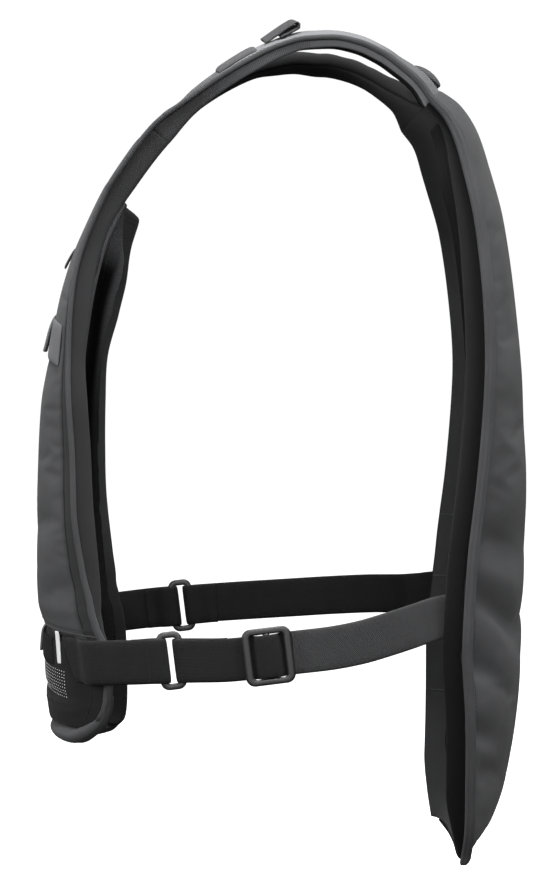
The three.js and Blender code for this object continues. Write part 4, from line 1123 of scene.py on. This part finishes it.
def fold_round(side, toward, size, back):
    """The webbing's way round one bar of the ring and back behind itself."""
    bar = RING["x"][side] - toward * (RING["wide"] - RING["bar"]) / 2
    radius = math.sqrt(2) * RING["thick"] / 2 + FOLD["clear"] + size["thick"] / 2
    turn = np.linspace(0, math.pi, 9)
    x = list(bar + toward * ((RING["bar"] - RING["thick"]) / 2 + radius * np.sin(turn)))
    w = list(RING["w"] + radius * np.cos(turn))
    close = RING["w"] + radius - size["thick"] - FOLD["apart"]
    x += [bar - toward * (RING["bar"] / 2 + FOLD["leaves"]), bar - toward * (back - FOLD["settles"]),
          bar - toward * back]
    w += [RING["w"] - radius + FOLD["clear"], close - FOLD["apart"] / 2, close]
    return [(a, side * b, webbing_height(a, side)) for a, b in zip(x, w)]


def on_route(rows, side):
    return [(row[0], side * row[1], row[HEIGHT_COLUMN[side]]) for row in rows]


for side, word in SIDES.items():
    route = smooth_path(on_route(TAB_ROUTE, side) + fold_round(side, 1, TAB, TAB["back"]), 1.2)[4:]
    tab = ribbon(f"tab_webbing_{word}", f"waist_tab_{word}", route, BARS, TAB, webbing)
    row = BARS * np.linspace(-TAB["half_row"], TAB["half_row"], 20)[:, None]
    rows = [np.array([x, side * TAB["outside"], webbing_height(x, side)]) + row for x in TAB["sewn"]]
    sew(f"tab_stitches_{word}", surface(tab), rows, dark_thread, 2.4, (2.0, 0.7, 0.5))
    x = STRAP_ROUTE[:, 0]
    plain = STRAP_ROUTE if side == LEFT else STRAP_ROUTE[(x < -90) | (x > -10)]
    plain = np.concatenate([plain, STRAP_ENDS[side]])
    route = smooth_path(fold_round(side, -1, STRAP, STRAP["back"][side])[::-1] + on_route(plain, side), 1.4)
    strap = ribbon(f"strap_webbing_{word}", f"side_strap_{word}", route, BARS, STRAP, webbing)
    if side == LEFT:
        strap.data.materials.append(elastic)
        for face in strap.data.polygons:
            face.material_index = int(face.center.x > ELASTIC_FROM * MM)

# The rings
# Slotted oval rings of moulded grey plastic, one each side, that join the tab and the strap.
# Each is held by the webbing folded round its two upright bars.
SLOT_CORNER = 2.4


def outline(half_wide, half_tall, corner):
    """A rectangle with rounded corners, as points."""
    spots = []
    for x, z, start in ((1, 1, 0), (-1, 1, 90), (-1, -1, 180), (1, -1, 270)):
        turn = np.radians(start + np.linspace(0, 90, 16))
        spots.append(np.stack([x * (half_wide - corner) + corner * np.cos(turn),
                               z * (half_tall - corner) + corner * np.sin(turn)], axis=1))
    return np.concatenate(spots)


def frame_piece(name, size, half_slot, place, material):
    """A flat frame of rounded bars round one slot: its outline and slot joined by a rounded section."""
    half_wide = size["wide"] / 2
    slot = half_wide - size["bar"]
    outside = outline(half_wide, size["tall"] / 2, size["corner"])
    inside = outline(slot, half_slot, min(SLOT_CORNER, slot - 0.1))
    share = (1 - np.cos(np.linspace(0, math.pi, 9))) / 2
    high = size["thick"] / 2 * np.clip(1 - np.abs(2 * share - 1) ** size["flat"], 0, 1) ** 0.5
    share, high = np.concatenate([share, share[-2:0:-1]]), np.concatenate([high, -high[-2:0:-1]])
    flat = outside + (inside - outside) * share[:, None, None]
    index = np.arange(flat[..., 0].size).reshape(flat.shape[:2])
    after, below = np.roll(index, -1, axis=1), np.roll(index, -1, axis=0)
    faces = np.stack([index, after, np.roll(after, -1, axis=0), below], axis=-1).reshape(-1, 4)
    x, y, z = (np.ravel(part) for part in np.broadcast_arrays(flat[..., 0], high[:, None], flat[..., 1]))
    cos, sin = math.cos(TILT), math.sin(TILT)
    turned = np.stack([x * cos - z * sin, y, x * sin + z * cos], axis=1)
    return make_piece(name, turned + np.array(place), faces, np.stack([x, z], axis=1), material)


ring_plastic, look = new_look("ring_plastic")
grain = noise(look, 1500.0, 2.0)
patches = noise(look, 60.0)
finish_look(look, {
    "Specular IOR Level": 0.5,
    "Base Color": patches.mix(grey(44, NEUTRAL), grey(56, NEUTRAL)), "Roughness": 0.42 + (grain - 0.5) * 0.2,
    "Normal": grain.bump(0.15, 0.1 * MM)})
for side, word in SIDES.items():
    x = RING["x"][side]
    ring = frame_piece(f"slotted_ring_{word}", RING, TAB["width"] / 2 + 0.3,
                       (x, side * RING["w"], webbing_height(x, side)), ring_plastic)
    join(ring, f"ring_{word}")

# The slider
# A three-bar slider stamped from satin metal, on the left strap only. The webbing passes over
# its middle bar.
SLIDER = {"wide": 40, "tall": 46, "bar": 6.8, "thick": 2.8, "flat": 6, "corner": 7.5,
          "place": (-43, -150, -487)}
MIDDLE_BAR = {"half_wide": 2.8, "half_thick": 1.3}
satin_metal, look = new_look("satin_metal")
brushed = look.node("ShaderNodeTexNoise", {}, {
    "Vector": look.node("ShaderNodeMapping", {}, {
        "Vector": look.node("ShaderNodeTexCoord", out="Object"), "Scale": (3000.0, 3000.0, 120.0)}),
    "Scale": 1.0, "Detail": 2.0}, "Fac")
finish_look(look, {
    "Metallic": 1.0,
    "Base Color": brushed.mix(grey(64, NEUTRAL), grey(82, NEUTRAL)), "Roughness": 0.36 + brushed * 0.14,
    "Normal": brushed.bump(0.1, 0.1 * MM)})
half_slot = STRAP["width"] / 2 + 0.2
slider = frame_piece("satin_slider", SLIDER, half_slot, SLIDER["place"], satin_metal)
path = np.array(SLIDER["place"]) + BARS * np.linspace(-half_slot - 1, half_slot + 1, 12)[:, None]
wide = np.tile([math.cos(TILT), 0, math.sin(TILT)], (12, 1)) * MIDDLE_BAR["half_wide"]
thick = np.tile([0, MIDDLE_BAR["half_thick"], 0], (12, 1))
join(loft("slider_bar", ovals(path, wide, thick), satin_metal))
join(slider, "slider_left")
